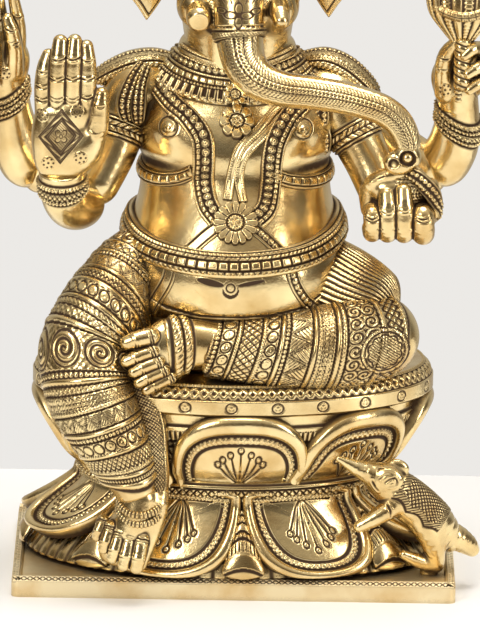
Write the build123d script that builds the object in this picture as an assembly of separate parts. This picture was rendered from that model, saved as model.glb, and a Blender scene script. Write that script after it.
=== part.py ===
"""A seated four-armed, elephant-headed brass idol on a double-lotus pedestal, with a mouse on its base.

The idol is a set of hollow and solid brass castings that are fitted, brazed and screwed together. Units are
millimetres. +Z is up, -Y is the idol's front, +X is the idol's own left hand side, and the origin is the middle
of the base plate's underside. "left" and "right" in names are the idol's own left and right.
"""

from build123d import *
import os

# ---- driving dimensions ----
PLATE_X, PLATE_Y, PLATE_Z = 240.0, 156.0, 8.5
PLATE_CORNER = 4.0
PLATE_SINK = 4.5  # depth of the holes for the screw heads in the plate's underside

LOWER_TOP = 52.0  # top of the downturned petals
COLLAR_TOP = 62.0  # top of the beaded collar between the two rings of petals
UPPER_TOP = 101.0  # top of the upturned petals
SEAT_TOP = 117.5
SEAT_HALF = (109.0, 75.0)
SEAT_MID_X = -2.0
FIGURE_X = -2.5  # the figure's own middle plane
WALL = 5.0  # wall of the hollow body casting
NECK_Z = 290.0
TOP_Z = 425.0

SCREW_R = 2.0
SCREW_HEAD_R = 4.2
SCREW_HEAD_H = 2.8
SCREW_DEPTH = 10.5  # how far a screw reaches into the pedestal
SCREW_PLACES = [(62.0, 44.0), (-62.0, 44.0), (62.0, -44.0), (-62.0, -44.0)]
FIGURE_BOLT_R = 4.0
BOLT_HEAD_R = 7.0
BOLT_HEAD_H = 5.6
WASHER_R = 13.0
WASHER_H = 2.4
CLEARANCE = 0.3

# Hollows of the pedestal castings: z, half width, half depth, y. They join into one closed room.
PEDESTAL_ROOM = [(PLATE_Z, 78, 56, 0), (LOWER_TOP, 74, 54, 0), (COLLAR_TOP, 74, 54, 0)]
BOWL_ROOM = [(COLLAR_TOP, 74, 54, 0), (75, 84, 58, 0), (UPPER_TOP, 92, 62, 0)]
SEAT_ROOF = UPPER_TOP + 7.0  # underside of the seat over that room


# ---- shape helpers ----
def level(z, half_x, half_y, y=0.0, x=0.0):
    """A horizontal elliptical section."""
    return Plane(origin=(x, y, z)) * Ellipse(half_x, half_y)


def stack(levels, x=0.0):
    """A loft through horizontal ellipses, each (z, half_x, half_y, y)."""
    return loft([level(z, a, b, y, x) for z, a, b, y in levels])


def limb(stations, side=(0, 0, 1)):
    """A loft through ellipses square to a path.

    Each station is (x, y, z, half_a, half_b), and half_b is measured nearest to the side direction.
    """
    sections = []
    last = len(stations) - 1
    for i, (x, y, z, half_a, half_b) in enumerate(stations):
        before = Vector(*stations[max(i - 1, 0)][:3])
        after = Vector(*stations[min(i + 1, last)][:3])
        along = (after - before).normalized()
        across = Vector(*side).cross(along).normalized()
        sections.append(Plane(origin=(x, y, z), x_dir=across, z_dir=along) * Ellipse(half_a, half_b))
    return loft(sections)


def ball(x, y, z, r):
    return Pos(x, y, z) * Sphere(r)


def drum(x, y, z, r, height):
    """An upright cylinder standing on z."""
    return Pos(x, y, z + height / 2) * Cylinder(r, height)


def largest(shape):
    """The biggest solid of a cut shape, so that no loose sliver stays."""
    return max(shape.solids(), key=lambda solid: solid.volume)


def fit(shape, *neighbours):
    """Cuts a piece back to where its neighbours begin."""
    for other in neighbours:
        shape = shape - other
    return Part() + largest(shape)


# ---- pedestal ----
def mirrored(places):
    """Each (x, y) in all four quarters."""
    return [(sx * x, sy * y) for sx in (1, -1) for sy in (1, -1) for x, y in places]


def make_base_plate():
    plate = Pos(0, 0, PLATE_Z / 2) * Box(PLATE_X, PLATE_Y, PLATE_Z)
    plate = fillet(plate.edges().filter_by(Axis.Z), PLATE_CORNER)
    for x, y in SCREW_PLACES:
        plate -= drum(x, y, 0, SCREW_R + CLEARANCE, PLATE_Z)
        plate -= drum(x, y, 0, SCREW_HEAD_R + CLEARANCE, PLATE_SINK)
    return plate


def make_screws():
    """Four screws that draw the pedestal down on to the plate, heads sunk below the underside."""
    screws = []
    for x, y in SCREW_PLACES:
        head = drum(x, y, PLATE_SINK - SCREW_HEAD_H, SCREW_HEAD_R, SCREW_HEAD_H)
        shank = drum(x, y, PLATE_SINK, SCREW_R, PLATE_Z - PLATE_SINK + SCREW_DEPTH)
        screws.append((head + shank).solid())
    return Compound(children=screws)


def make_lower_lotus():
    """The downturned petals: a flared skirt, scalloped into eight lobes in plan."""
    skirt = stack([(PLATE_Z, 108, 70, 0), (15, 118, 77, 0), (24, 116, 76, 0), (38, 100, 69, 0),
                   (LOWER_TOP, 82, 62, 0)])
    lobes = extrude(Ellipse(84, 62), LOWER_TOP)
    for x, y in mirrored([(41.0, 42.0)]):
        lobes += drum(x, y, 0, 35.0, LOWER_TOP)
    for x, y in mirrored([(83.0, 17.0)]):
        lobes += drum(x, y, 0, 34.0, LOWER_TOP)
    core = stack([(PLATE_Z, 84, 62, 0), (LOWER_TOP, 80, 60, 0)])
    lotus = (skirt & lobes) + core - stack(PEDESTAL_ROOM[:2])
    for x, y in SCREW_PLACES:
        lotus -= drum(x, y, PLATE_Z, SCREW_R, SCREW_DEPTH)
    return Part() + largest(lotus)


def make_collar():
    ring = extrude(Pos(0, 0, LOWER_TOP) * Ellipse(83, 64), COLLAR_TOP - LOWER_TOP)
    return ring - stack(PEDESTAL_ROOM[1:])


def make_upper_lotus():
    """The upturned petals: a bowl that flares to the seat, with eight grooves between the petals."""
    bowl = stack([(COLLAR_TOP, 80, 60, 0), (72, 91, 66, 0), (88, 101, 70, 0), (UPPER_TOP, 104, 71.5, 0)],
                 SEAT_MID_X)
    bowl -= stack(BOWL_ROOM)
    for x, y in mirrored([(47.0, 67.0), (101.0, 31.0)]):
        bowl -= drum(x + SEAT_MID_X, y, COLLAR_TOP, 5.0, UPPER_TOP - COLLAR_TOP)
    return Part() + largest(bowl)


def make_seat_slab():
    """The seat: an oval slab with a plain rim and a sloped, beaded upper edge. It closes the hollow's top."""
    half_x, half_y = SEAT_HALF
    rim_top = UPPER_TOP + 8.5
    rim = stack([(UPPER_TOP, half_x - 3, half_y - 3, 0), (UPPER_TOP + 2, half_x, half_y, 0),
                 (rim_top, half_x, half_y, 0)], SEAT_MID_X)
    slope = stack([(rim_top, half_x, half_y, 0), (SEAT_TOP, half_x - 5, half_y - 5, 0)], SEAT_MID_X)
    pocket = stack([(UPPER_TOP, 88, 58, 0), (SEAT_ROOF, 84, 55, 0)])
    boss = drum(FIGURE_X, 0, UPPER_TOP, WASHER_R + 2, SEAT_ROOF - UPPER_TOP)
    bolt_hole = drum(FIGURE_X, 0, UPPER_TOP, FIGURE_BOLT_R + CLEARANCE, SEAT_TOP - UPPER_TOP)
    return rim + slope - (pocket - boss) - bolt_hole


def make_figure_bolt():
    """Holds the figure down on the seat. It is done up before the pedestal goes on its plate."""
    under_washer = UPPER_TOP - WASHER_H
    shank = SEAT_TOP + TORSO_FLOOR - under_washer
    return drum(FIGURE_X, 0, under_washer - BOLT_HEAD_H, BOLT_HEAD_R, BOLT_HEAD_H) + \
        drum(FIGURE_X, 0, under_washer, FIGURE_BOLT_R, shank)


def make_figure_washer():
    under_washer = UPPER_TOP - WASHER_H
    return drum(FIGURE_X, 0, under_washer, WASHER_R, WASHER_H) - \
        drum(FIGURE_X, 0, under_washer, FIGURE_BOLT_R, WASHER_H)


# ---- body ----
TORSO = [  # z, half width, half depth, y of the section's middle
    (SEAT_TOP, 60, 48, 4), (135, 66, 52, 0), (155, 65, 57, -5), (172, 63, 58, -6), (190, 59, 53, -4),
    (208, 52, 44, 0), (230, 54, 42, 2), (250, 55, 38, 4), (268, 50, 31, 6), (281, 37, 27, 5),
    (NECK_Z, 31, 26, 3)]
TORSO_FLOOR = 10.0
NECK_BORE = 18.0


def make_torso():
    """Chest and belly: a hollow casting with a floor for the figure bolt and an open neck for the head."""
    body = stack(TORSO, FIGURE_X)
    inner = [(z, a - WALL, b - WALL, y) for z, a, b, y in TORSO if SEAT_TOP + TORSO_FLOOR < z < 269]
    hollow = stack(inner, FIGURE_X)
    neck = drum(FIGURE_X, 4, 255, NECK_BORE, NECK_Z - 255)
    bolt_hole = drum(FIGURE_X, 0, SEAT_TOP, FIGURE_BOLT_R, TORSO_FLOOR)
    return Part() + largest(body - hollow - neck - bolt_hole)


def make_right_thigh():
    thigh = limb([(-32, -2, 150, 30, 31), (-56, -20, 147, 30, 29), (-74, -40, 140, 26, 26)])
    return thigh + ball(-78, -47, 137, 26)


def make_right_shin():
    """The hanging leg, in its wrapped garment, from the knee down to the hem."""
    return limb([(-84, -55, 136, 24, 22), (-79, -66, 118, 24, 22), (-70, -73, 100, 23, 20),
                 (-59, -77, 78, 20, 17), (-52, -79, 62, 16, 14)], side=(1, 0, 0))


def make_right_foot():
    return limb([(-51, -78, 61, 11, 12), (-51, -78, 48, 11, 13), (-53, -80, 34, 14, 12),
                 (-57, -84, 20, 18, 9), (-58, -86, 12, 17, 7)], side=(0, 1, 0))


def make_left_thigh():
    thigh = limb([(27, -2, 150, 30, 31), (50, -14, 148, 30, 30), (66, -26, 144, 26, 27)])
    return thigh + ball(71, -30, 142, 26)


def make_left_shin():
    """The folded leg, lying along the seat's front edge from the knee to the anklet."""
    return limb([(84, -42, 137, 17, 20), (70, -49, 136, 21, 23), (42, -55, 134, 20, 21),
                 (12, -58, 134, 17, 18), (-13, -60, 135, 12, 15)])


def make_left_foot():
    return limb([(-13, -62, 135, 10, 13), (-28, -67, 134, 9, 15), (-44, -71, 131, 7, 17),
                 (-60, -73, 128, 5, 13)])


# ---- arms ----
def make_front_right_arm():
    arm = limb([(-50, 4, 262, 15, 18), (-62, -2, 246, 14, 15), (-71, -12, 228, 13, 13),
                (-80, -20, 212, 13, 12)], side=(0, 1, 0))
    return arm + ball(-83, -22, 207, 13)


def make_front_right_forearm():
    return limb([(-85, -26, 207, 12, 13), (-90, -38, 212, 11.5, 12), (-94, -50, 219, 11, 11)], side=(1, 0, 0))


def make_blessing_hand():
    """Open palm, held up and facing forward."""
    palm = limb([(-94, -53, 221, 12, 9), (-92, -56, 234, 19, 9), (-90, -57, 252, 20, 8),
                 (-91, -58, 272, 17, 7), (-91, -58, 290, 15, 6), (-90, -58, 304, 7, 4)], side=(0, 1, 0))
    thumb = limb([(-76, -57, 240, 5, 5), (-72, -59, 256, 4.5, 5), (-71, -60, 272, 3, 3.5)], side=(0, 1, 0))
    return palm + thumb


def make_front_left_arm():
    arm = limb([(45, 4, 262, 15, 18), (58, -2, 247, 14, 15), (69, -11, 230, 13, 13), (78, -17, 214, 13, 12)],
               side=(0, 1, 0))
    return arm + ball(81, -19, 209, 13)


def make_front_left_forearm():
    return limb([(82, -24, 209, 12, 13), (84, -36, 210, 11.5, 12), (86, -48, 212, 12, 12)], side=(1, 0, 0))


def make_offering_hand():
    """Cupped fist, palm up, with a round pocket for the sweet."""
    fist = fillet((Pos(87, -65, 216) * Box(39, 31, 36)).edges(), 11)
    return fist - ball(88, -62, 226, 15)


def make_sweet():
    return ball(88, -62, 226, 15 - CLEARANCE)


def make_rear_right_arm():
    arm = limb([(-46, 18, 262, 16, 15), (-72, 17, 246, 14, 13), (-96, 12, 226, 14, 13)], side=(0, 1, 0))
    return arm + ball(-109, 9, 218, 15)


def make_rear_right_forearm():
    return limb([(-113, 8, 222, 14, 14), (-121, 4, 240, 13, 13), (-125, 0, 258, 11, 11)], side=(0, 1, 0))


def make_rear_right_hand():
    return limb([(-125, -1, 260, 11, 9), (-128, -5, 276, 14, 9), (-129, -9, 294, 15, 9),
                 (-128, -12, 318, 11, 7)], side=(0, 1, 0))


def make_rear_left_arm():
    arm = limb([(41, 18, 262, 16, 15), (68, 17, 248, 14, 13), (92, 12, 230, 14, 13)], side=(0, 1, 0))
    return arm + ball(104, 9, 222, 15)


def make_rear_left_forearm():
    return limb([(107, 8, 226, 14, 14), (113, 4, 240, 12, 13), (116, 0, 252, 11, 11)], side=(0, 1, 0))


def make_rear_left_hand():
    return limb([(117, -1, 254, 11, 9), (117, -6, 268, 14, 10), (116, -10, 284, 14, 10),
                 (114, -12, 302, 10, 7)], side=(0, 1, 0))


# ---- what the rear hands hold ----
AXE_X, AXE_Y = -134.0, -18.0


def make_axe():
    """A short war axe, held upright: a round haft, a crescent blade and a spike."""
    haft = drum(AXE_X, AXE_Y, 262, 2.8, 98)
    spike = Pos(AXE_X, AXE_Y, 366) * Cone(3.6, 0.6, 12)
    blade = Pos(AXE_X - 6, AXE_Y, 346) * Rot(90, 0, 0) * Cylinder(19, 4.5)
    blade -= Pos(AXE_X + 15, AXE_Y, 346) * Rot(90, 0, 0) * Cylinder(17, 5)
    blade += Pos(AXE_X - 2, AXE_Y, 346) * Box(10, 4.5, 12)
    return Part() + largest(haft + spike + blade)


NOOSE_X, NOOSE_Y = 119.0, -20.0


def make_noose():
    """A stiff cast noose: its cords gather in the hand, flare in a flat pleated fan and end in a ring."""
    grip = Pos(NOOSE_X, NOOSE_Y, 292) * Cone(5.5, 4.0, 40)
    fan = limb([(NOOSE_X, -18, 297, 4, 4), (NOOSE_X, -19, 306, 6, 12), (NOOSE_X, NOOSE_Y, 316, 7.5, 18),
                (NOOSE_X, NOOSE_Y, 325, 6, 20)], side=(1, 0, 0))
    ring = Pos(NOOSE_X, NOOSE_Y, 343) * Rot(90, 0, 0) * Torus(17, 3.2)
    return grip + fan + ring


# ---- head ----
HEAD = [(NECK_Z, 30, 27, 1), (300, 33, 31, -2), (315, 38, 35, -5), (333, 43, 37, -5), (350, 43, 36, -3),
        (362, 38, 33, 0), (370, 31, 29, 2)]
CROWN_Z = 370.0


def make_head():
    """Hollow elephant head on a round spigot that fits the body's neck opening."""
    spigot = drum(FIGURE_X, 4, 268, NECK_BORE - CLEARANCE, NECK_Z - 267)
    brow = ball(FIGURE_X - 15, -24, 346, 17) + ball(FIGURE_X + 15, -24, 346, 17)
    hollow = stack([(z, a - WALL - 1, b - WALL - 1, y) for z, a, b, y in HEAD[1:-1]], FIGURE_X)
    core_hole = drum(FIGURE_X, 4, 268, NECK_BORE - WALL, 36)
    return stack(HEAD, FIGURE_X) + spigot + brow - hollow - core_hole


def make_trunk():
    """Falls from between the eyes, sweeps to the idol's left and dips its tip to the sweet."""
    return limb([(-2.5, -34, 327, 15, 13), (-1.5, -41, 306, 13.5, 12), (2.5, -52, 291, 11, 11),
                 (12, -58, 281, 10, 10), (26, -60, 275.5, 9.5, 9.5), (42, -61, 272.5, 9, 9),
                 (58, -63, 270, 8.5, 8.5), (73, -66, 264, 8, 8), (84, -70, 254, 7.5, 7.5),
                 (89, -71, 244.5, 7, 7)], side=(0, 1, 0))


def make_tusk(side):
    """The right tusk is a broken stub, the left one a short blunt tusk."""
    x = FIGURE_X + side * 22
    tilt = Rot(72, 0, 0) if side < 0 else Rot(55, 12, 0)
    length = 12 if side < 0 else 18
    tip = 6.6 if side < 0 else 4.2
    return Pos(x, -31, 312) * tilt * Pos(0, 0, length / 2) * Cone(6.8, tip, length)


def make_ear(side):
    """A broad fan-shaped ear, thin and swept back, that ends in a low point."""
    outline = [(0, 30), (12, 40), (30, 38), (43, 22), (44, 2), (34, -18), (20, -32), (8, -20), (0, -6)]
    points = [(side * x, z) for x, z in outline]
    face = make_face(Spline(*points, periodic=True))
    blade = extrude(Plane.XZ * face, 2.6, both=True)
    return Pos(FIGURE_X + side * 36, 4, 338) * Rot(0, 0, -side * 14) * blade


def make_crown():
    """A tapering conical crown of stacked rings."""
    profile = [(0, CROWN_Z), (35, CROWN_Z), (36, 374), (33, 378), (34, 382), (30, 386), (31, 390), (25, 395),
               (26, 399), (18, 404), (18, 407), (0, 407)]
    return Pos(FIGURE_X, 1, 0) * revolve(Plane.XZ * make_face(Polyline(*profile, close=True)), Axis.Z)


def make_finial():
    profile = [(0, 407), (9, 407), (12, 412), (8, 417), (4, 419), (1.2, TOP_Z), (0, TOP_Z)]
    return Pos(FIGURE_X, 1, 0) * revolve(Plane.XZ * make_face(Polyline(*profile, close=True)), Axis.Z)


# ---- mouse ----
def make_mouse():
    """One casting: it climbs towards the seat with its snout raised."""
    body = limb([(80, -60, 64, 9, 10), (90, -57, 55, 11, 12), (99, -54, 47, 11, 12.5), (109, -50, 37, 10, 12),
                 (118, -46, 27, 7, 8)], side=(0, 1, 0))
    snout = limb([(84, -60, 63, 9, 10), (70, -64, 69.5, 6, 6.5), (55, -67, 77.5, 1.8, 1.8)], side=(0, 1, 0))
    paw = limb([(88, -63, 51, 6, 6), (77, -67, 44.5, 4.5, 5), (67, -69, 39.5, 3, 3.5)], side=(0, 1, 0))
    haunch = limb([(104, -57, 38, 8, 9), (107, -55, 27, 6.5, 7), (107, -51, 17, 5, 6),
                   (106, -49, PLATE_Z, 5, 6)], side=(0, 1, 0))
    foot = limb([(109, -50, 14, 4, 4.5), (100, -56, 18, 4, 4.5), (92, -60, 22.5, 2.5, 3)], side=(0, 1, 0))
    ears = ball(88, -54, 71, 6) + ball(83, -64, 66, 7)
    return body + snout + paw + haunch + foot + ears


def make_mouse_tail():
    return limb([(114, -47, 29, 7, 7.5), (122, -44, 26, 6, 6.5), (130, -42, 20.5, 3, 3.5)], side=(0, 1, 0))


# ---- assembly ----
def build_pedestal():
    return {
        "base_plate": make_base_plate(), "pedestal_screws": make_screws(), "lower_lotus": make_lower_lotus(),
        "lotus_collar": make_collar(), "upper_lotus": make_upper_lotus(), "seat_slab": make_seat_slab(),
        "figure_bolt": make_figure_bolt(), "figure_washer": make_figure_washer(),
    }


def build_arm(parts, body, *pieces):
    """Fits each (name, shape) of an arm to the body and to the arm's pieces before it."""
    done = [body]
    for name, shape in pieces:
        parts[name] = fit(shape, *done)
        done.append(parts[name])


def build_figure(parts):
    """Each piece is cut back to the pieces it meets, in the order in which they are brazed on."""
    parts["torso"] = make_torso()
    solid_torso = stack(TORSO, FIGURE_X)
    stand = [parts[n] for n in ("seat_slab", "upper_lotus", "lotus_collar", "lower_lotus", "base_plate")]
    parts["right_thigh"] = fit(make_right_thigh(), solid_torso, parts["seat_slab"])
    parts["left_thigh"] = fit(make_left_thigh(), solid_torso, parts["seat_slab"])
    parts["right_shin"] = fit(make_right_shin(), parts["right_thigh"], *stand[:3])
    parts["left_shin"] = fit(make_left_shin(), solid_torso, parts["left_thigh"], parts["right_thigh"],
                             stand[0])
    parts["right_foot"] = fit(make_right_foot(), parts["right_shin"], *stand[1:])
    parts["left_foot"] = fit(make_left_foot(), parts["left_shin"], parts["right_thigh"], solid_torso,
                             parts["right_shin"], stand[0])
    build_arm(parts, solid_torso, ("front_right_arm", make_front_right_arm()),
              ("front_right_forearm", make_front_right_forearm()), ("blessing_hand", make_blessing_hand()))
    build_arm(parts, solid_torso, ("front_left_arm", make_front_left_arm()),
              ("front_left_forearm", make_front_left_forearm()), ("offering_hand", make_offering_hand()))
    build_arm(parts, solid_torso + parts["front_right_arm"], ("rear_right_arm", make_rear_right_arm()),
              ("rear_right_forearm", make_rear_right_forearm()), ("rear_right_hand", make_rear_right_hand()))
    build_arm(parts, solid_torso + parts["front_left_arm"], ("rear_left_arm", make_rear_left_arm()),
              ("rear_left_forearm", make_rear_left_forearm()), ("rear_left_hand", make_rear_left_hand()))
    parts["sweet"] = make_sweet()
    parts["axe"] = fit(make_axe(), parts["rear_right_hand"])
    parts["noose"] = fit(make_noose(), parts["rear_left_hand"])


def build_head(parts):
    parts["head"] = fit(make_head(), parts["torso"])
    solid_torso = stack(TORSO, FIGURE_X)
    parts["trunk"] = fit(make_trunk(), parts["head"], solid_torso, parts["sweet"], parts["offering_hand"])
    parts["right_tusk"] = fit(make_tusk(-1), parts["head"], parts["trunk"])
    parts["left_tusk"] = fit(make_tusk(1), parts["head"], parts["trunk"])
    parts["right_ear"] = fit(make_ear(-1), parts["head"])
    parts["left_ear"] = fit(make_ear(1), parts["head"])
    parts["crown"] = fit(make_crown(), parts["head"])
    parts["crown_finial"] = make_finial()


def build_mouse(parts):
    parts["mouse"] = fit(make_mouse(), parts["base_plate"], parts["lower_lotus"], parts["lotus_collar"],
                         parts["upper_lotus"])
    parts["mouse_tail"] = fit(make_mouse_tail(), parts["mouse"])


def main():
    os.makedirs("parts", exist_ok=True)
    parts = build_pedestal()
    build_figure(parts)
    build_head(parts)
    build_mouse(parts)
    for name, shape in parts.items():
        export_step(shape, f"parts/{name}.step")


main()
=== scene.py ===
"""The looks of a brass elephant-headed idol: sculpted castings, engraved ornament, dark wax in the recesses
and painted shade where parts hide each other.

Shapes are worked out in millimetres in the CAD's frame (+Z up, -Y front, +X the figure's own left) and turned
into metres when a mesh is made. Ornament is relief: a height over a surface, from small repeating patterns.
"""
import math

import bpy
import numpy as np
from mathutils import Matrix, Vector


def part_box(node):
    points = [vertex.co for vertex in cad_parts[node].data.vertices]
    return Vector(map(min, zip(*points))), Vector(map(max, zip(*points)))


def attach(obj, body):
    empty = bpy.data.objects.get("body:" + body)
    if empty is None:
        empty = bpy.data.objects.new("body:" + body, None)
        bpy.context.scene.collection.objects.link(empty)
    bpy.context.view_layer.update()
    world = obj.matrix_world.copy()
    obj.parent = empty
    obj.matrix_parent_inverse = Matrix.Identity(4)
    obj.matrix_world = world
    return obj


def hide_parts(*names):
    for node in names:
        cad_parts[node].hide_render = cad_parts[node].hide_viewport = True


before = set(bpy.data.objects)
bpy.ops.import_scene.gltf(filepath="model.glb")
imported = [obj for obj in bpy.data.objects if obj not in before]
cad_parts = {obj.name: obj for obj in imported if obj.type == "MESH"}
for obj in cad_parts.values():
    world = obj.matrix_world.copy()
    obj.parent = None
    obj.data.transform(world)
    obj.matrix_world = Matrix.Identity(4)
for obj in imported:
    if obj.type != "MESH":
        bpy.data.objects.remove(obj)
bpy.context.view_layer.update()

import openvdb
from mathutils import Matrix, Vector
from mathutils.bvhtree import BVHTree

MM = 0.001
FINE = 0.45  # spacing of the points that carry ornament, in mm
TAU = 2 * math.pi
RECESS = 0.36  # how far under its surroundings a place is fully dark, in mm


def box(node):
    """Lowest and highest corner of a CAD node in mm."""
    return np.array(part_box(node)) / MM


def unit(vectors):
    """The same directions, each one long."""
    return vectors / np.maximum(np.linalg.norm(vectors, axis=-1, keepdims=True), 1e-9)


# ---------------------------------------------------------------- meshes

def add_piece(name, points, quads, grime, nodes=(), slot="brass", material="brass"):
    """Makes a mesh piece from points in mm. grime is 0 where the metal is polished and 1 where it is dark."""
    mesh = bpy.data.meshes.new(name)
    count, corners = len(quads), quads.shape[1]
    mesh.vertices.add(len(points))
    mesh.vertices.foreach_set("co", (np.asarray(points, np.float64) * MM).astype(np.float32).ravel())
    mesh.loops.add(count * corners)
    mesh.loops.foreach_set("vertex_index", quads.astype(np.int32).ravel())
    mesh.polygons.add(count)
    mesh.polygons.foreach_set("loop_start", np.arange(count, dtype=np.int32) * corners)
    mesh.polygons.foreach_set("use_smooth", np.full(count, True))
    layer = mesh.attributes.new("grime", "FLOAT", "POINT")
    layer.data.foreach_set("value", np.broadcast_to(grime, len(points)).astype(np.float32).ravel())
    mesh.update(calc_edges=True)
    mesh.validate()
    piece = bpy.data.objects.new(name, mesh)
    bpy.context.scene.collection.objects.link(piece)
    mesh.materials.append(METALS[material])
    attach(piece, "root")
    if nodes:
        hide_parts(*nodes)
    return piece


def grid_quads(rows, cols, wrap=False):
    """Faces of a grid of points; wrap joins the last column to the first."""
    index = np.arange(rows * cols).reshape(rows, cols)
    if wrap:
        index = np.concatenate([index, index[:, :1]], 1)
    quads = np.stack([index[:-1, :-1], index[:-1, 1:], index[1:, 1:], index[1:, :-1]], -1)
    return quads.reshape(-1, 4)


def grid_normals(points, wrap=False):
    """Unit normals of a grid of points, from the differences along its two directions."""
    down = np.gradient(points, axis=0)
    if wrap:
        along = (np.roll(points, -1, 1) - np.roll(points, 1, 1)) / 2
    else:
        along = np.gradient(points, axis=1)
    return unit(np.cross(along, down))


def blur(values, reach, wrap=False):
    """Box blur of a grid, done twice."""
    for _ in range(2):
        for axis in (0, 1):
            mode = "wrap" if wrap and axis == 1 else "edge"
            pad = [(0, 0), (0, 0)]
            pad[axis] = (reach + 1, reach)
            total = np.cumsum(np.pad(values, pad, mode=mode), axis)
            size = values.shape[axis]
            high = np.take(total, range(2 * reach + 1, 2 * reach + 1 + size), axis)
            low = np.take(total, range(0, size), axis)
            values = (high - low) / (2 * reach + 1)
    return values


def recesses(height, wrap=False):
    """How dark a relief is: 1 where it lies well below its surroundings, and a little beside such a place."""
    dark = np.clip((blur(height, 3, wrap) - height) / RECESS, 0, 1)
    beside = np.zeros_like(dark)
    for axis in (0, 1):
        for shift in (-1, 1):
            beside = np.maximum(beside, np.roll(dark, shift, axis))
    return np.maximum(dark, 0.25 * beside)


def relief_grid(name, points, height, wrap=False, outward=None, **options):
    """A grid of points raised by height along its normals. outward points out, from the axis by default."""
    normal = grid_normals(points, wrap)
    quads = grid_quads(*height.shape, wrap=wrap)
    if (normal * (points * (1, 1, 0) if outward is None else outward)).sum() < 0:
        normal, quads = -normal, quads[:, ::-1]
    raised = points + normal * height[..., None]
    return add_piece(name, raised.reshape(-1, 3), quads, recesses(height, wrap).ravel(), **options)


# ---------------------------------------------------------------- curves

def curve_through(knots, count=None, step=None):
    """Points on a smooth curve through knots of any width, evenly spaced in the knots' own parameter."""
    knots = np.array(knots, float)
    if step:
        span = np.linalg.norm(np.diff(knots[:, :3], axis=0), axis=1).sum()
        count = max(4, int(round(span / step)) + 1)
    padded = np.vstack([2 * knots[0] - knots[1], knots, 2 * knots[-1] - knots[-2]])
    place = np.linspace(0, len(knots) - 1, count)
    before = np.minimum(place.astype(int), len(knots) - 2)
    t = (place - before)[:, None]
    a, b, c, d = (padded[before + i] for i in range(4))
    return 0.5 * (2 * b + (c - a) * t + (2 * a - 5 * b + 4 * c - d) * t ** 2
                  + (3 * b - a - 3 * c + d) * t ** 3)


def even(points, step=FINE):
    """The same curve, spaced evenly, and the distance along it."""
    gaps = np.linalg.norm(np.diff(points[:, :3], axis=0), axis=1)
    far = np.concatenate([[0], np.cumsum(gaps)])
    along = np.linspace(0, far[-1], max(4, int(round(far[-1] / step)) + 1))
    return np.stack([np.interp(along, far, column) for column in points.T], 1), along


def ease(value, low, high):
    """0 below low, 1 above high, smooth between."""
    t = np.clip((value - low) / (high - low), 0, 1)
    return t * t * (3 - 2 * t)


# ---------------------------------------------------------------- relief patterns
# A pattern takes u, the distance along its band in band widths, and v, the place across it from -0.5 to 0.5.

def cell(u):
    return u - np.floor(u) - 0.5


def mark(gap, width):
    """1 on a line and 0 well beside it."""
    return np.exp(-(gap / width) ** 2)


def dome(t):
    """A half round over -1 to 1."""
    return np.sqrt(np.clip(1 - t ** 2, 0, 1))


def ripple(t):
    """Round ridges side by side, each pi wide."""
    return np.abs(np.sin(t))


def flat(u, v):
    return np.ones_like(u)


def groove(u, v):
    return np.zeros_like(u)


def roll(u, v):
    """A plain half-round moulding."""
    return dome(2 * v)


def beads(u, v):
    r = np.hypot(cell(u), v)
    return dome(r / 0.48)


def rope(u, v):
    twist = ripple(math.pi * (u * 1.3 + v * 1.1))
    return roll(u, v) * (0.35 + 0.65 * twist ** 0.6)


def cross(u, v):
    """Small pyramids between two sets of slanting cuts."""
    a, b = cell(u + v), cell(u - v)
    return np.clip(1.15 - 2.1 * np.maximum(np.abs(a), np.abs(b)), 0, 1)


def net(u, v):
    """A finer crosshatch of cut lines."""
    a, b = cell(2 * (u + v)), cell(2 * (u - v))
    return np.clip(3.5 * (0.5 - np.maximum(np.abs(a), np.abs(b))), 0, 1)


def studs(u, v):
    """Rounds with a ring cut about each and a dimple."""
    r = np.hypot(cell(u * 0.88), v)
    disc = 1 - 0.35 * mark(r, 0.13) - 0.3 * mark(r - 0.24, 0.05)
    return np.where(r < 0.36, disc, 0.75) * (1 - mark(r - 0.41, 0.06))


def bricks(u, v):
    return np.clip(6 * (0.5 - np.abs(cell(u * 0.8))), 0, 1) * np.clip(6 * (0.5 - np.abs(v)), 0, 1)


def comb(u, v):
    return 0.15 + 0.85 * np.clip(1.6 * ripple(math.pi * u * 2.2), 0, 1)


def leaves(u, v):
    """Slanting leaves in two rows, like a feather."""
    a = cell(1.6 * u + 1.5 * np.abs(v))
    spine = 1 - mark(v, 0.06)
    return spine * np.clip(1.25 - 2.2 * np.abs(a), 0, 1)


def slants(u, v):
    a = cell(2.2 * u + 1.2 * v)
    return np.clip(1.3 - 2.4 * np.abs(a), 0, 1)


def scallops(u, v):
    """Half rounds side by side, each with a line inside its edge."""
    r = np.hypot(cell(u), v + 0.5)
    body = ease(-r, -0.5, -0.42)
    return body * (1 - 0.8 * mark(r - 0.33, 0.05)) * (1 - 0.6 * mark(r, 0.12))


def scales(u, v):
    """Fish scales in three rows."""
    best = np.zeros_like(u)
    for row in range(4):
        r = np.hypot(cell(3 * u + 0.5 * (row % 2)), 3 * (v + 0.5) - row)
        best = np.where(r < 0.56, np.clip(0.35 + 1.1 * r, 0, 1) * ease(-r, -0.56, -0.5), best)
    return best


def swirls(u, v):
    """A spiral in each square."""
    x, y = cell(u), v * np.where(np.floor(u) % 2 > 0, 1, -1)
    r, turn = np.hypot(x, y), np.arctan2(y, x)
    wave = 0.5 + 0.5 * np.cos(turn - 20 * r)
    return np.clip(0.15 + 1.1 * wave, 0, 1)


def crosses(u, v):
    """Small crosses struck side by side."""
    return 1 - mark(np.abs(cell(u)) - np.abs(v), 0.13) * (np.abs(v) < 0.45)


def stars(u, v):
    """Coarse cut stars, as a saw tooth punch leaves them."""
    x, y = cell(u * 1.6) / 1.3, v
    r, turn = np.hypot(x, y), np.arctan2(y, x)
    return np.clip(1.25 - 2.3 * r * (1 + 0.4 * np.cos(4 * turn)), 0, 1)


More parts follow.
